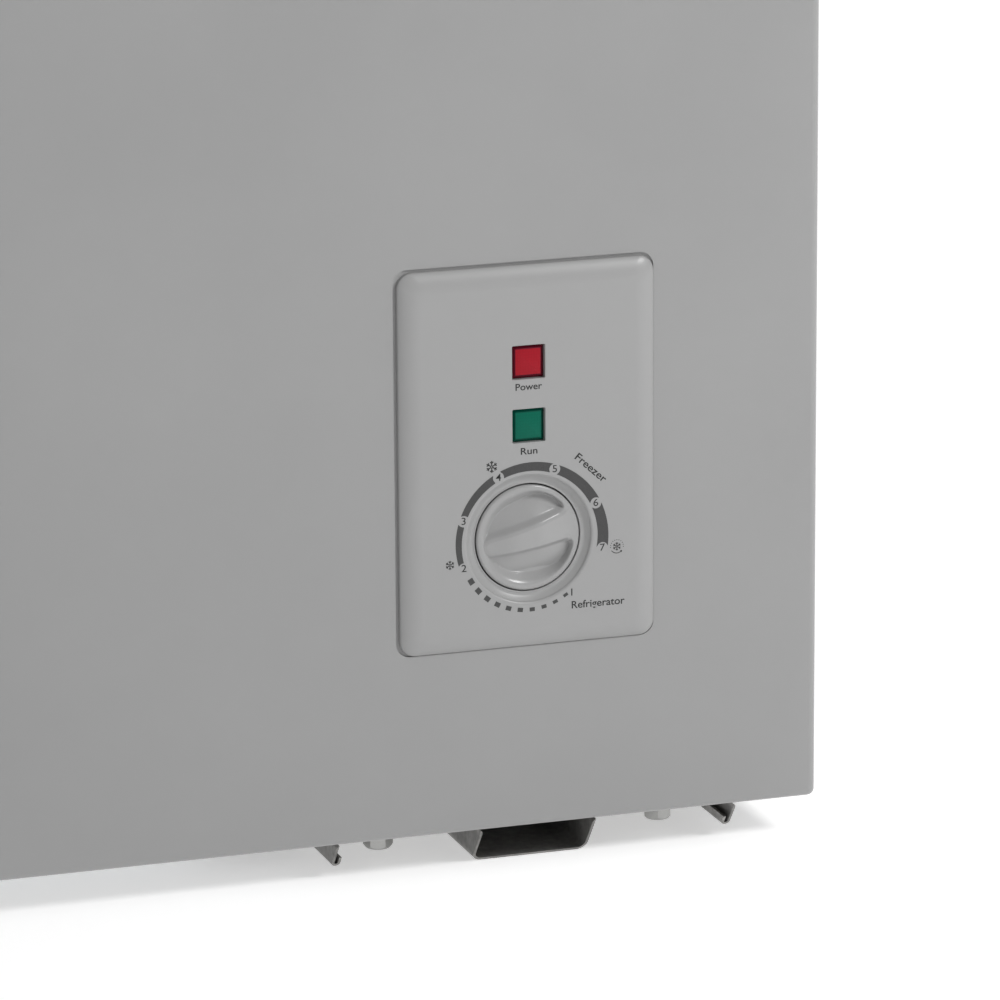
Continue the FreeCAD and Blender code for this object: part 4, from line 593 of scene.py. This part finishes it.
def finish_named(name):
    """The material of a finish, made the first time that it is asked for."""
    made = bpy.data.materials.get("finish_" + name)
    if made is not None:
        return made
    cabinet, controls, lid = settings().cabinet, settings().controls, settings().lid
    makers = {
        "cabinet_enamel": lambda: painted_sheet(name, cabinet.paint, cabinet.peel_pitch),
        "plate_plastic": lambda: moulded_plastic(name, controls.plastic, 0.36, 0.5 * MM, 0.05, 0.12, 0.05),
        "knob_moulding": lambda: moulded_plastic(name, controls.plastic, 0.24, 0.8 * MM, 0.02, 0.0, 0.02),
        "grey_trim": lambda: moulded_plastic(name, (0.30, 0.30, 0.30), 0.42),
        "black_trim": lambda: moulded_plastic(name, (0.02, 0.02, 0.021), 0.45),
        "white_trim": lambda: moulded_plastic(name, (0.72, 0.72, 0.71), 0.3, wear=0.1, dust=0.02),
        "galvanised_sheet": lambda: galvanised(name),
        "zinc_plate": lambda: plated_steel(name),
        "spring_steel": lambda: plated_steel(name, (0.34, 0.34, 0.35), 0.3, 0.3),
        "rail_coating": lambda: rolled_steel(name, (0.013, 0.0125, 0.013)),
        "black_enamel": lambda: rolled_steel(name, (0.012, 0.012, 0.013), wear=0.25, roughness=0.3),
        "drawn_copper": lambda: copper_tube(name),
        "evaporator_aluminium": lambda: plated_steel(name, (0.66, 0.67, 0.68), 0.4, 0.3),
        "liner_white": lambda: embossed_liner(name, lid.inner),
        "lid_lining": lambda: moulded_plastic(name, lid.inner, 0.3, 1.5 * MM, 0.04, 0.05, 0.0),
        "gasket_pvc": lambda: soft_rubber(name, lid.seal),
        "black_rubber": lambda: soft_rubber(name, (0.016, 0.016, 0.016), 0.6),
        "cut_foam": lambda: rigid_foam(name),
        "basket_coating": lambda: moulded_plastic(name, (0.74, 0.74, 0.73), 0.22, 2 * MM, 0.03, 0.0, 0.0),
        "power_red": lambda: tinted_lens(name, controls.red),
        "run_green": lambda: tinted_lens(name, controls.green),
        # Darker copies of the two lens tints for the lenses' sloping sides and backs: painted shade.
        "power_red_border": lambda: tinted_lens(name, (0.13, 0.004, 0.016)),
        "run_green_border": lambda: tinted_lens(name, (0.0, 0.085, 0.055)),
        "ink": lambda: printed_ink(name, controls.ink),
        "fine_ink": lambda: printed_ink(name, controls.fine_ink),
        "paper": lambda: studio_floor(name, settings().stage.floor, settings().stage.glow),
    }
    material = makers[name]()
    material.name = "finish_" + name
    return material


NODE_FINISHES = {
    "galvanised_sheet": ["back_panel", "bottom_panel", "machine_bay_liner", "rear_cross_member"],
    "zinc_plate": ["cabinet_screws", "compressor_bolts", "hinge_bracket_left", "hinge_bracket_right",
                   "hinge_leaf_left", "hinge_leaf_right", "hinge_leaf_screws", "lock_barrel", "lock_cam",
                   "lock_strike", "rail_bolts"],
    "spring_steel": ["hinge_pins", "hinge_springs", "thermostat_shaft", "condenser_tube",
                     "compressor_motor_pump", "thermostat_body"],
    "rail_coating": ["compressor_rail", "left_foot_rail"],
    "black_enamel": ["compressor_lower_shell", "compressor_upper_shell", "rear_grille"],
    "drawn_copper": ["capillary_tube", "discharge_line", "suction_line", "process_tube",
                     "filter_drier", "thermostat_bulb_tube"],
    "evaporator_aluminium": ["evaporator_tube"],
    "cut_foam": ["insulation_foam", "lid_foam"],
    "white_trim": ["rim_frame", "lid_frame", "lamp_housings", "terminal_block", "drain_pipe"],
    "black_trim": ["drain_cap", "mains_inlet_gland", "start_relay_box", "wiring_loom"],
    "grey_trim": ["side_grille", "basket_grips"],
    "black_rubber": ["compressor_grommets", "drain_plug"],
    "basket_coating": ["basket_wires"],
    "liner_white": ["inner_liner"],
    "lid_lining": ["lid_inner_panel"],
    "gasket_pvc": ["lid_gasket"],
    "cabinet_enamel": ["outer_shell", "lid_skin"],
    "plate_plastic": ["control_plate", "lid_handle"],
    "knob_moulding": ["thermostat_knob"],
    "power_red": ["power_lamp_lens"],
    "run_green": ["run_lamp_lens"],
}


class FREEZER_OT_finishes(bpy.types.Operator):
    """Put a finish on every CAD node"""

    bl_idname = "freezer.finishes"
    bl_label = "Finish the CAD nodes"

    def execute(self, context):
        for finish, names in NODE_FINISHES.items():
            for name in names:
                node = NODES[name]
                node.data.materials.clear()
                node.data.materials.append(finish_named(finish))
        return {"FINISHED"}


# ------------------------------------------------------------------ stage
AIM = Vector((PLATE_X - 10.5 * MM, FRONT_Y, SHELL_LOW.z + 129.8 * MM))
FILM_WIDTH, SIGHT_LIMIT = 36.0, 60.0
FLOOR_REACH, FLOOR_BACK, FLOOR_RISE, FLOOR_WIDTH = 14.0, 9.0, 6.0, 26.0
# Each light's place, what it shines at, its width and its power in watts.
LIGHTS = {"key": ((1.3, -1.3, 1.2), (0.4, FRONT_Y, 0.3), 0.5, 16.0),
          "fill": ((-2.4, -2.6, 2.6), (0.0, 0.0, 0.4), 2.2, 3.0),
          "rim": ((1.6, 2.4, 2.6), (0.3, 0.0, 0.4), 1.6, 20.0)}


class FREEZER_OT_stage(bpy.types.Operator):
    """Make the camera, the pale floor and the soft studio light"""

    bl_idname = "freezer.stage"
    bl_label = "Stage"

    def execute(self, context):
        stage = settings().stage
        level_reach = math.cos(stage.pitch)
        ahead = Vector((math.sin(stage.yaw) * level_reach, math.cos(stage.yaw) * level_reach,
                        -math.sin(stage.pitch)))
        right = ahead.cross(Vector((0, 0, 1))).normalized()
        up = right.cross(ahead)
        rolled_right = right * math.cos(stage.roll) + up * math.sin(stage.roll)
        rolled_up = up * math.cos(stage.roll) - right * math.sin(stage.roll)
        lens = bpy.data.cameras.new("camera")
        lens.lens, lens.sensor_width, lens.clip_end = stage.focal, FILM_WIDTH, SIGHT_LIMIT
        camera = bpy.data.objects.new("camera", lens)
        context.scene.collection.objects.link(camera)
        turn = Matrix((rolled_right, rolled_up, -ahead)).transposed().to_4x4()
        camera.matrix_world = Matrix.Translation(AIM - ahead * stage.distance) @ turn
        context.scene.camera = camera
        context.scene.view_settings.view_transform = "Standard"
        self.floor()
        self.lights(context, stage)
        return {"FINISHED"}

    def floor(self):
        """Wide floor that curves up far behind the freezer."""
        sweep = arc_points((FLOOR_BACK, FLOOR_RISE), FLOOR_RISE, -math.pi / 2, 0.0, 24)
        line = [(-FLOOR_REACH, 0.0), (FLOOR_BACK, 0.0)] + sweep[1:]
        bm = bmesh.new()
        sides = [[Vector((x, y, z)) for y, z in line] for x in (-FLOOR_WIDTH / 2, FLOOR_WIDTH / 2)]
        add_rings(bm, sides, closed=False)
        piece = from_bmesh("floor", bm)
        piece.data.materials.append(finish_named("paper"))

    def lights(self, context, stage):
        """Pale surround, seen white by the camera, and three soft round lights."""
        world = bpy.data.worlds.new("studio")
        context.scene.world = world
        world.use_nodes = True
        tree = world.node_tree
        background = tree.nodes["Background"]
        background.inputs["Color"].default_value = (1.0, 1.0, 1.0, 1.0)
        seen = tree.nodes.new("ShaderNodeLightPath")
        level = ranged(tree, seen.outputs["Is Camera Ray"], stage.ambient, 1.0, 0.0, 1.0)
        wire(tree, level, background.inputs["Strength"])
        for name, (place, aim, size, power) in LIGHTS.items():
            data = bpy.data.lights.new(name, "AREA")
            data.shape, data.size, data.energy = "DISK", size, power
            lamp = bpy.data.objects.new(name, data)
            context.scene.collection.objects.link(lamp)
            lamp.location = place
            lamp.rotation_mode = "QUATERNION"
            lamp.rotation_quaternion = (Vector(aim) - Vector(place)).to_track_quat("-Z", "Y")


# ------------------------------------------------------------------ control plate
def lamp_centres():
    return {name: centre_of(f"{name}_lamp_lens") for name in ("power", "run")}


class FREEZER_OT_control_plate(bpy.types.Operator):
    """Make the moulded control plate with its pillow edge, lamp windows and dished dial seat"""

    bl_idname = "freezer.control_plate"
    bl_label = "Control plate"

    def execute(self, context):
        controls = settings().controls
        half_w = (PLATE_HIGH.x - PLATE_LOW.x) / 2 - controls.flange
        half_h = (PLATE_HIGH.z - PLATE_LOW.z) / 2 - controls.flange
        middle = (PLATE_X, (PLATE_LOW.z + PLATE_HIGH.z) / 2)
        edge_y, step_y, base_y = FRONT_Y - 0.5 * MM, FRONT_Y + 0.9 * MM, FRONT_Y + 2.0 * MM

        def outline(inset, y):
            corner = max(controls.corner - inset * 0.35, 2 * MM)
            return upright(rounded_outline(half_w - inset, half_h - inset, corner, 14, middle), y)

        bm = bmesh.new()
        rings = [outline(1.5 * MM, base_y), outline(-controls.flange, base_y),
                 outline(-controls.flange, step_y), outline(0.0, step_y), outline(0.0, edge_y)]
        rise, steps = edge_y - PLATE_FACE_Y, 14
        for k in range(1, steps + 1):
            share = k / steps
            swell = math.sin(share * math.pi / 2)
            rings.append(outline(controls.pillow * share ** 1.35, edge_y - rise * swell))
        outer = add_rings(bm, rings)[-1]
        holes = []
        for centre in lamp_centres().values():
            holes.append(self.window(bm, centre, controls.lamp / 2))
        holes.append(self.dish(bm, controls))
        fill_between(bm, outer, *holes)
        plate = from_bmesh("control_plate_moulding", bm, math.radians(50))
        weigh_normals(plate)
        settle(plate, "cabinet", finish_named("plate_plastic"), ["control_plate"])
        return {"FINISHED"}

    def window(self, bm, centre, half):
        """Makes a square window with an eased edge, and returns its outline on the face."""
        ease = 0.25 * MM
        rings = []
        for out, depth in ((ease, 0.0), (ease * 0.3, ease * 0.3), (0.0, ease), (0.0, 5.5 * MM)):
            outline = rounded_outline(half + out, half + out, 0.5 * MM, 4, (centre.x, centre.z))
            rings.append(upright(outline, PLATE_FACE_Y + depth))
        return add_rings(bm, rings)[0]

    def dish(self, bm, controls):
        """Makes the dial's seat: a rounded lip, a cone and a floor, then the well round the knob."""
        lip, ease, inner = 1.3 * MM, 0.9 * MM, controls.dish - 2.2 * MM
        well, well_floor, bead = 21.0 * MM, 15.0 * MM, 0.22 * MM
        lowest = controls.dish_depth
        profile = [(controls.dish + lip * (1 - math.sin(a)), -lip * (1 - math.cos(a)) * 0.8)
                   for a in (math.pi / 2 * k / 8 for k in range(9))]
        profile += [(inner + ease, -lowest + ease * 0.55), (inner + ease * 0.4, -lowest + ease * 0.15),
                    (inner, -lowest), (21.8 * MM, -lowest), (21.62 * MM, -lowest + 0.05 * MM),
                    (21.4 * MM, -lowest + bead), (21.2 * MM, -lowest + 0.2 * MM), (21.05 * MM, -lowest),
                    (well, -lowest - 0.4 * MM), (well, -well_floor)]
        return lathe(bm, profile, DIAL, (0, -1, 0), 128)[0]


# ------------------------------------------------------------------ print on the plate
def slab(bm, outline, y, thickness):
    """Thin closed plate in an upright plane from an outline of (x, z) points."""
    front = [bm.verts.new((x, y - thickness, z)) for x, z in outline]
    back = [bm.verts.new((x, y, z)) for x, z in outline]
    bm.faces.new(front)
    bm.faces.new(list(reversed(back)))
    for k in range(len(outline)):
        n = (k + 1) % len(outline)
        bm.faces.new((front[k], back[k], back[n], front[n]))


SCALE = Vector((DIAL.x, DIAL.z)) + Vector((0.0, -1.2 * MM))
CAPITAL_SHARE = 0.729  # height of a capital in a letter size of 1
BOLDER_WORD, BOLDER_NUMBER, WIDER_NUMBER = 0.012, 0.002, 1.12
# Each number's radius in mm, its angle in degrees, and how far it stands to the right and up in mm.
NUMBERS = {"1": (27.2, -52.3, 0.16, 0.16), "2": (27.7, 197.2, 0.32, 0.0),
           "3": (28.5, 158.6, 0.38, -0.21), "4": (28.6, 115.5, 0.1, 0.2),
           "5": (28.9, 70.4, 0.49, 0.26), "6": (29.3, 25.5, 0.1, 0.26), "7": (29.2, -9.9, 0.38, 0.16)}
# Each flake's radius in mm, its angle in degrees and its width in mm; the last is the fast freeze mark.
FLAKES = ((32.3, 191.3, 3.6), (33.9, 116.0, 4.6), (35.3, -8.0, 3.3))


def direction(angle):
    return Vector((math.cos(angle), math.sin(angle)))


def polar(radius, degrees):
    return direction(math.radians(degrees)) * radius


def number_place(number):
    """Middle of a number on the dial's scale."""
    radius, degrees, right, up = NUMBERS[number]
    return SCALE + polar(radius * MM, degrees) + Vector((right, up)) * MM


class FREEZER_OT_print(bpy.types.Operator):
    """Print the dial's scale, numbers, flakes and words"""

    bl_idname = "freezer.print"
    bl_label = "Dial print"

    def execute(self, context):
        controls = settings().controls
        y, ink = PLATE_FACE_Y, controls.print_height
        bm = bmesh.new()
        self.swelling_arc(bm, controls, y, ink)
        self.dashes(bm, y, ink)
        scale = from_bmesh("dial_scale_print", bm, math.radians(20))
        settle(scale, "cabinet", finish_named("ink"))
        bm = bmesh.new()
        for radius, degrees, width in FLAKES:
            self.flake(bm, SCALE + polar(radius * MM, degrees), width * MM / 2, y, ink)
        self.fast_freeze_ring(bm, SCALE + polar(FLAKES[2][0] * MM, FLAKES[2][1]), y, ink)
        flakes = from_bmesh("dial_flakes_print", bm, math.radians(20))
        settle(flakes, "cabinet", finish_named("fine_ink"))
        cap = controls.letter
        for number in NUMBERS:
            self.words(f"print_number_{number}", number, number_place(number), cap * 1.06, ink)
        lamps = lamp_centres()
        for name, text, drop, width in (("power", "Power", 9.5, 10.5), ("run", "Run", 9.9, 6.6)):
            place = Vector((lamps[name].x, lamps[name].z - drop * MM))
            self.words(f"print_{name}", text, place, cap * 0.98, ink, width * MM)
        place = SCALE + Vector((24.6, 26.6)) * MM
        self.words("print_freezer", "Freezer", place, cap * 1.1, ink, 15.6 * MM, -42.4)
        place = SCALE + Vector((27.4, -26.4)) * MM
        self.words("print_refrigerator", "Refrigerator", place, cap * 1.08, ink, 21.3 * MM)
        return {"FINISHED"}

    def swelling_arc(self, bm, controls, y, ink):
        """Arc that grows from the warm end to the cold end, hollowed out round each number on it."""
        centre = SCALE + Vector((0.15, 0.5)) * MM
        gap, steps = 2.2 * MM, 60
        for start, end in zip("23456", "34567"):
            first, last = (number_place(n) - centre for n in (start, end))
            from_angle, to_angle = (math.atan2(p.y, p.x) for p in (first, last))
            from_angle += TAU if from_angle < -math.pi / 2 else 0.0
            inner, outer = [], []
            for k in range(steps + 1):
                angle = from_angle + (to_angle - from_angle) * k / steps
                swell = controls.ring_thick + (controls.ring_thin - controls.ring_thick) * angle / math.pi
                for side, radius in ((inner, controls.ring_in), (outer, controls.ring_in + swell)):
                    point = direction(angle) * radius
                    if min((point - first).length, (point - last).length) > gap:
                        side.append(point)
            outline = inner + self.hollow(inner[-1], outer[-1], last, gap)
            outline += list(reversed(outer)) + self.hollow(outer[0], inner[0], first, gap)
            slab(bm, [tuple(centre + p) for p in outline], y, ink)

    def hollow(self, start, end, middle, radius):
        """Points of the short arc round a number, between two ends."""
        first = math.atan2(start.y - middle.y, start.x - middle.x)
        sweep = math.atan2(end.y - middle.y, end.x - middle.x) - first
        sweep = (sweep + math.pi) % TAU - math.pi
        steps = 8
        return [middle + direction(first + sweep * k / steps) * radius for k in range(1, steps)]

    def dashes(self, bm, y, ink):
        """Dashes that shrink from the number 2 round to the number 1."""
        count = 10
        for k in range(count):
            share = k / (count - 1)
            angle = math.radians(210 + 93 * share)
            radius = (26.9 - 0.6 * share) * MM
            tall, wide = (2.2 - 1.0 * share) * MM / 2, (2.4 - 0.5 * share) * MM / 2
            ray = direction(angle)
            side = Vector((-ray.y, ray.x))
            corners = [ray * (radius + a * tall) + side * (b * wide)
                       for a, b in ((-1, -1), (1, -1), (1, 1), (-1, 1))]
            slab(bm, [tuple(SCALE + p) for p in corners], y, ink)

    def flake(self, bm, centre, reach, y, ink):
        """Six-armed snow flake with a pair of twigs on each arm."""
        centre = Vector(centre)
        half = reach * 0.09
        for k in range(6):
            angle = math.pi / 2 + k * math.pi / 3
            arm = direction(angle)
            self.stroke(bm, centre + arm * half * 1.2, centre + arm * reach, half, y, ink)
            for way in (-1, 1):
                twig = direction(angle + way * 0.8)
                foot = centre + arm * reach * 0.56
                self.stroke(bm, foot + twig * half, foot + twig * reach * 0.4, half * 0.85, y, ink * 0.9)

    def stroke(self, bm, start, end, half, y, ink):
        along = (end - start).normalized()
        side = Vector((-along.y, along.x)) * half
        slab(bm, [tuple(p) for p in (start - side, end - side, end + side, start + side)], y, ink)

    def fast_freeze_ring(self, bm, centre, y, ink):
        """Ring of dots over the last flake and a small arrow under it."""
        centre, radius = Vector(centre), 2.6 * MM
        for k in range(11):
            angle = math.radians(-5 + 19 * k)
            dot = centre + direction(angle) * radius
            slab(bm, arc_points(dot, 0.17 * MM, 0, TAU * 7 / 8, 7), y, ink)
        inner, outer = [], []
        for k in range(13):
            angle = math.radians(215 + 95 * k / 12)
            ray = direction(angle)
            inner.append(centre + ray * (radius - 0.12 * MM))
            outer.append(centre + ray * (radius + 0.14 * MM))
        slab(bm, [tuple(p) for p in inner + list(reversed(outer))], y, ink)
        tip = centre + polar(radius, 322)
        base = centre + polar(radius, 308)
        side = (base - centre).normalized() * 0.55 * MM
        slab(bm, [tuple(p) for p in (base - side, base + side, tip)], y, ink)

    def words(self, name, text, place, height, ink, width=None, degrees=0.0):
        """Thin raised lettering, centred on a place on the plate's face and stretched to a width."""
        curve = bpy.data.curves.new(name, "FONT")
        curve.body, curve.align_x, curve.align_y = text, "CENTER", "CENTER"
        curve.size = height / CAPITAL_SHARE
        curve.extrude, curve.offset = ink / 2, height * (BOLDER_WORD if width else BOLDER_NUMBER)
        curve.resolution_u = 6
        lettering = bpy.data.objects.new(name, curve)
        bpy.context.scene.collection.objects.link(lettering)
        bpy.context.view_layer.update()
        depsgraph = bpy.context.evaluated_depsgraph_get()
        mesh = bpy.data.meshes.new_from_object(lettering.evaluated_get(depsgraph), depsgraph=depsgraph)
        bpy.data.objects.remove(lettering)
        across = [v.co.x for v in mesh.vertices]
        middle, span = (max(across) + min(across)) / 2, max(across) - min(across)
        stretch = width / span if width else WIDER_NUMBER
        on_plate = Matrix.Translation((place[0], PLATE_FACE_Y - ink / 2, place[1]))
        upright_turn = Matrix.Rotation(-math.radians(degrees), 4, "Y") @ Matrix.Rotation(math.pi / 2, 4, "X")
        widened = Matrix.Diagonal((stretch, 1.0, 1.0, 1.0)) @ Matrix.Translation((-middle, 0.0, 0.0))
        mesh.transform(on_plate @ upright_turn @ widened)
        piece = bpy.data.objects.new(name, mesh)
        bpy.context.scene.collection.objects.link(piece)
        settle(piece, "cabinet", finish_named("fine_ink"))


# ------------------------------------------------------------------ knob and lamps
class FREEZER_OT_knob(bpy.types.Operator):
    """Sculpt the dial knob: a lipped rim, two scoops and a tapered grip between them"""

    bl_idname = "freezer.knob"
    bl_label = "Dial knob"

    tilt = math.radians(12.2)
    radius = 20.5 * MM
    lip = 18.7 * MM  # radius of the rim's inner edge
    proud = 3.0 * MM
    rim_depth = 1.8 * MM
    grip_half, grip_taper, grip_tip = 3.9 * MM, 0.063, -14.7 * MM
    skirt = 10.5 * MM

    def execute(self, context):
        rim_y = PLATE_FACE_Y + self.rim_depth
        rings_in, around = 84, 240
        bm = bmesh.new()
        rings = []
        for k in range(1, rings_in + 1):
            r = self.radius * k / rings_in
            rings.append([self.place(r, TAU * n / around, rim_y) for n in range(around)])
        foot = (self.radius - 1.6 * MM, self.skirt + 0.4 * MM)
        side = [(self.radius, 0.55 * MM), (self.radius, self.skirt), foot]
        for r, depth in side:
            turns = [direction(TAU * n / around) * r for n in range(around)]
            rings.append([self.at(turn.x, turn.y, rim_y + depth) for turn in turns])
        placed = add_rings(bm, rings)
        hub = bm.verts.new(self.place(0.0, 0.0, rim_y))
        for n in range(around):
            bm.faces.new((hub, placed[0][n], placed[0][(n + 1) % around]))
        knob = from_bmesh("dial_knob", bm, math.radians(60))
        settle(knob, "knob", finish_named("knob_moulding"), ["thermostat_knob"])
        return {"FINISHED"}

    def at(self, u, v, y):
        """Point of the knob, with u along the grip and v across it."""
        c, s = math.cos(self.tilt), math.sin(self.tilt)
        return Vector((DIAL.x + u * c - v * s, y, DIAL.z + u * s + v * c))

    def place(self, r, angle, rim_y):
        u, v = r * math.cos(angle), r * math.sin(angle)
        return self.at(u, v, rim_y - self.height(u, v))

    def height(self, u, v):
        """Height over the rim's level, negative in the scoops, from the rim's and the grip's walls."""
        r = math.hypot(u, v)
        v -= 0.6 * MM
        rim = -0.6 * MM * max(0.0, 1 - (self.radius - r) / (0.9 * MM)) ** 2
        along = max(u, self.grip_tip)
        off_grip = math.hypot(u - along, v) - (self.grip_half + self.grip_taper * along)
        room = self.lip - r
        corner = (4.2 if u > 0 else 0.8) * MM
        gap_r, gap_g = max(corner - room, 0.0), max(corner - off_grip, 0.0)
        if gap_r > 0 and gap_g > 0:
            cut = min(room, off_grip) - (corner - math.hypot(gap_r, gap_g))
            room, off_grip = room - cut, off_grip - cut
        crown = self.proud * smooth((u + 19.5 * MM) / (16 * MM)) * smooth((18.9 * MM - u) / (17 * MM))
        crown -= 0.25 * MM * smooth(1 + off_grip / (1.2 * MM))
        side = max(off_grip, 0.0)
        grip = crown - 1.8 * MM * smooth(side / (2.4 * MM)) - (crown + 2.2 * MM) * min(side / (11 * MM), 1.0)
        steep = smooth((u + 2 * MM) / (16 * MM))
        wall = (4.6 - 3.4 * steep) * MM
        bank = -(3.4 + 0.9 * steep) * MM * smooth_step(room / wall)
        if off_grip <= 0:
            return rim + max(crown, 0.0)
        return rim + (max(bank, grip) if room > 0 else 0.0)


def smooth_step(x):
    """Rises from 0 to 1 with a rounded foot and a nearly straight run."""
    x = min(max(x, 0.0), 1.0)
    return x * x * (2 - x) if x < 0.4 else 0.256 + (x - 0.4) * 1.24


def smooth(x):
    """Eases from 0 to 1."""
    x = min(max(x, 0.0), 1.0)
    return x * x * (3 - 2 * x)


class FREEZER_OT_lamps(bpy.types.Operator):
    """Make the two lamp lenses, each a raised square inside a sloping border that carries painted shade"""

    bl_idname = "freezer.lamps"
    bl_label = "Lamp lenses"

    def execute(self, context):
        half = settings().controls.lamp / 2 - 0.12 * MM
        for name, centre in lamp_centres().items():
            low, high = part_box(f"{name}_lamp_lens")
            bm = bmesh.new()
            rings = []
            for inset, y in ((0.0, high.y), (0.0, low.y + 1.4 * MM), (0.15 * MM, low.y + 1.25 * MM),
                             (1.05 * MM, low.y + 0.5 * MM), (1.2 * MM, low.y + 0.12 * MM),
                             (1.45 * MM, low.y)):
                outline = rounded_outline(half - inset, half - inset, 0.35 * MM, 4, (centre.x, centre.z))
                rings.append(upright(outline, y))
            placed = add_rings(bm, rings)
            bm.faces.new(placed[-1])
            bm.faces.new(list(reversed(placed[0])))
            lens = from_bmesh(f"{name}_lens", bm, math.radians(40))
            finish = "power_red" if name == "power" else "run_green"
            settle(lens, "cabinet", finish_named(finish), [f"{name}_lamp_lens"])
            # Every face except the large front ones takes the darker copy of the tint: painted shade on the
            # sloping border.
            lens.data.materials.append(finish_named(finish + "_border"))
            for face in lens.data.polygons:
                face.material_index = 0 if face.normal.y < -0.995 and face.area > (8 * MM) ** 2 else 1
        return {"FINISHED"}


# ------------------------------------------------------------------ lid seal
# Cross-section of the seal: how far in from its outer outline, and how far over its lowest level, in mm.
SEAL_SECTION = ((0.0, 6.7), (0.0, 5.7), (0.5, 5.25), (2.4, 4.85), (3.1, 4.3), (2.4, 3.75), (0.9, 3.35),
                (0.5, 2.9), (0.45, 1.1), (0.8, 0.4), (1.6, 0.05), (6.2, 0.0), (6.7, 0.3), (7.5, 0.42),
                (8.3, 0.3), (8.8, 0.0), (13.4, 0.05), (14.2, 0.4), (14.55, 1.1), (14.5, 2.9), (14.1, 3.35),
                (12.6, 3.75), (11.9, 4.3), (12.6, 4.85), (14.5, 5.25), (15.0, 5.7), (15.0, 6.7))


class FREEZER_OT_gasket(bpy.types.Operator):
    """Make the lid's soft bellows seal with its grooved magnetic pad"""

    bl_idname = "freezer.gasket"
    bl_label = "Lid seal"

    def execute(self, context):
        low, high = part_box("lid_gasket")
        half_x, half_y = (high.x - low.x) / 2, (high.y - low.y) / 2
        middle = ((high.x + low.x) / 2, (high.y + low.y) / 2)
        bm = bmesh.new()
        rings = []
        for inset, height in SEAL_SECTION:
            corner = (4.0 - 0.15 * inset) * MM
            outline = rounded_outline(half_x - inset * MM, half_y - inset * MM, corner, 6, middle)
            rings.append(level(outline, low.z + height * MM))
        rings = add_rings(bm, rings)
        count = len(rings[0])
        for k in range(count):
            bm.faces.new((rings[-1][k], rings[-1][(k + 1) % count], rings[0][(k + 1) % count], rings[0][k]))
        seal = from_bmesh("bellows_seal", bm, math.radians(70))
        weigh_normals(seal)
        settle(seal, "lid", finish_named("gasket_pvc"), ["lid_gasket"])
        return {"FINISHED"}


# ------------------------------------------------------------------ panel and registration
class FREEZER_PT_panel(bpy.types.Panel):
    """Buttons that build the freezer's pieces"""

    bl_idname = "FREEZER_PT_panel"
    bl_label = "Chest Freezer"
    bl_space_type = "VIEW_3D"
    bl_region_type = "UI"
    bl_category = "Freezer"

    def draw(self, context):
        for operator in OPERATORS:
            self.layout.operator(operator.bl_idname)


OPERATORS = (FREEZER_OT_stage, FREEZER_OT_finishes, FREEZER_OT_control_plate, FREEZER_OT_print,
             FREEZER_OT_knob, FREEZER_OT_lamps, FREEZER_OT_gasket)
SETTINGS = (CabinetSettings, ControlSettings, LidSettings, StageSettings, FreezerSettings)
CLASSES = SETTINGS + OPERATORS + (FREEZER_PT_panel,)


def register():
    for item in CLASSES:
        bpy.utils.register_class(item)
    bpy.types.Scene.freezer = bpy.props.PointerProperty(type=FreezerSettings)


def unregister():
    del bpy.types.Scene.freezer
    for item in reversed(CLASSES):
        bpy.utils.unregister_class(item)


def main():
    register()
    for operator in OPERATORS:
        module, name = operator.bl_idname.split(".")
        getattr(getattr(bpy.ops, module), name)()


if __name__ == "__main__":
    main()
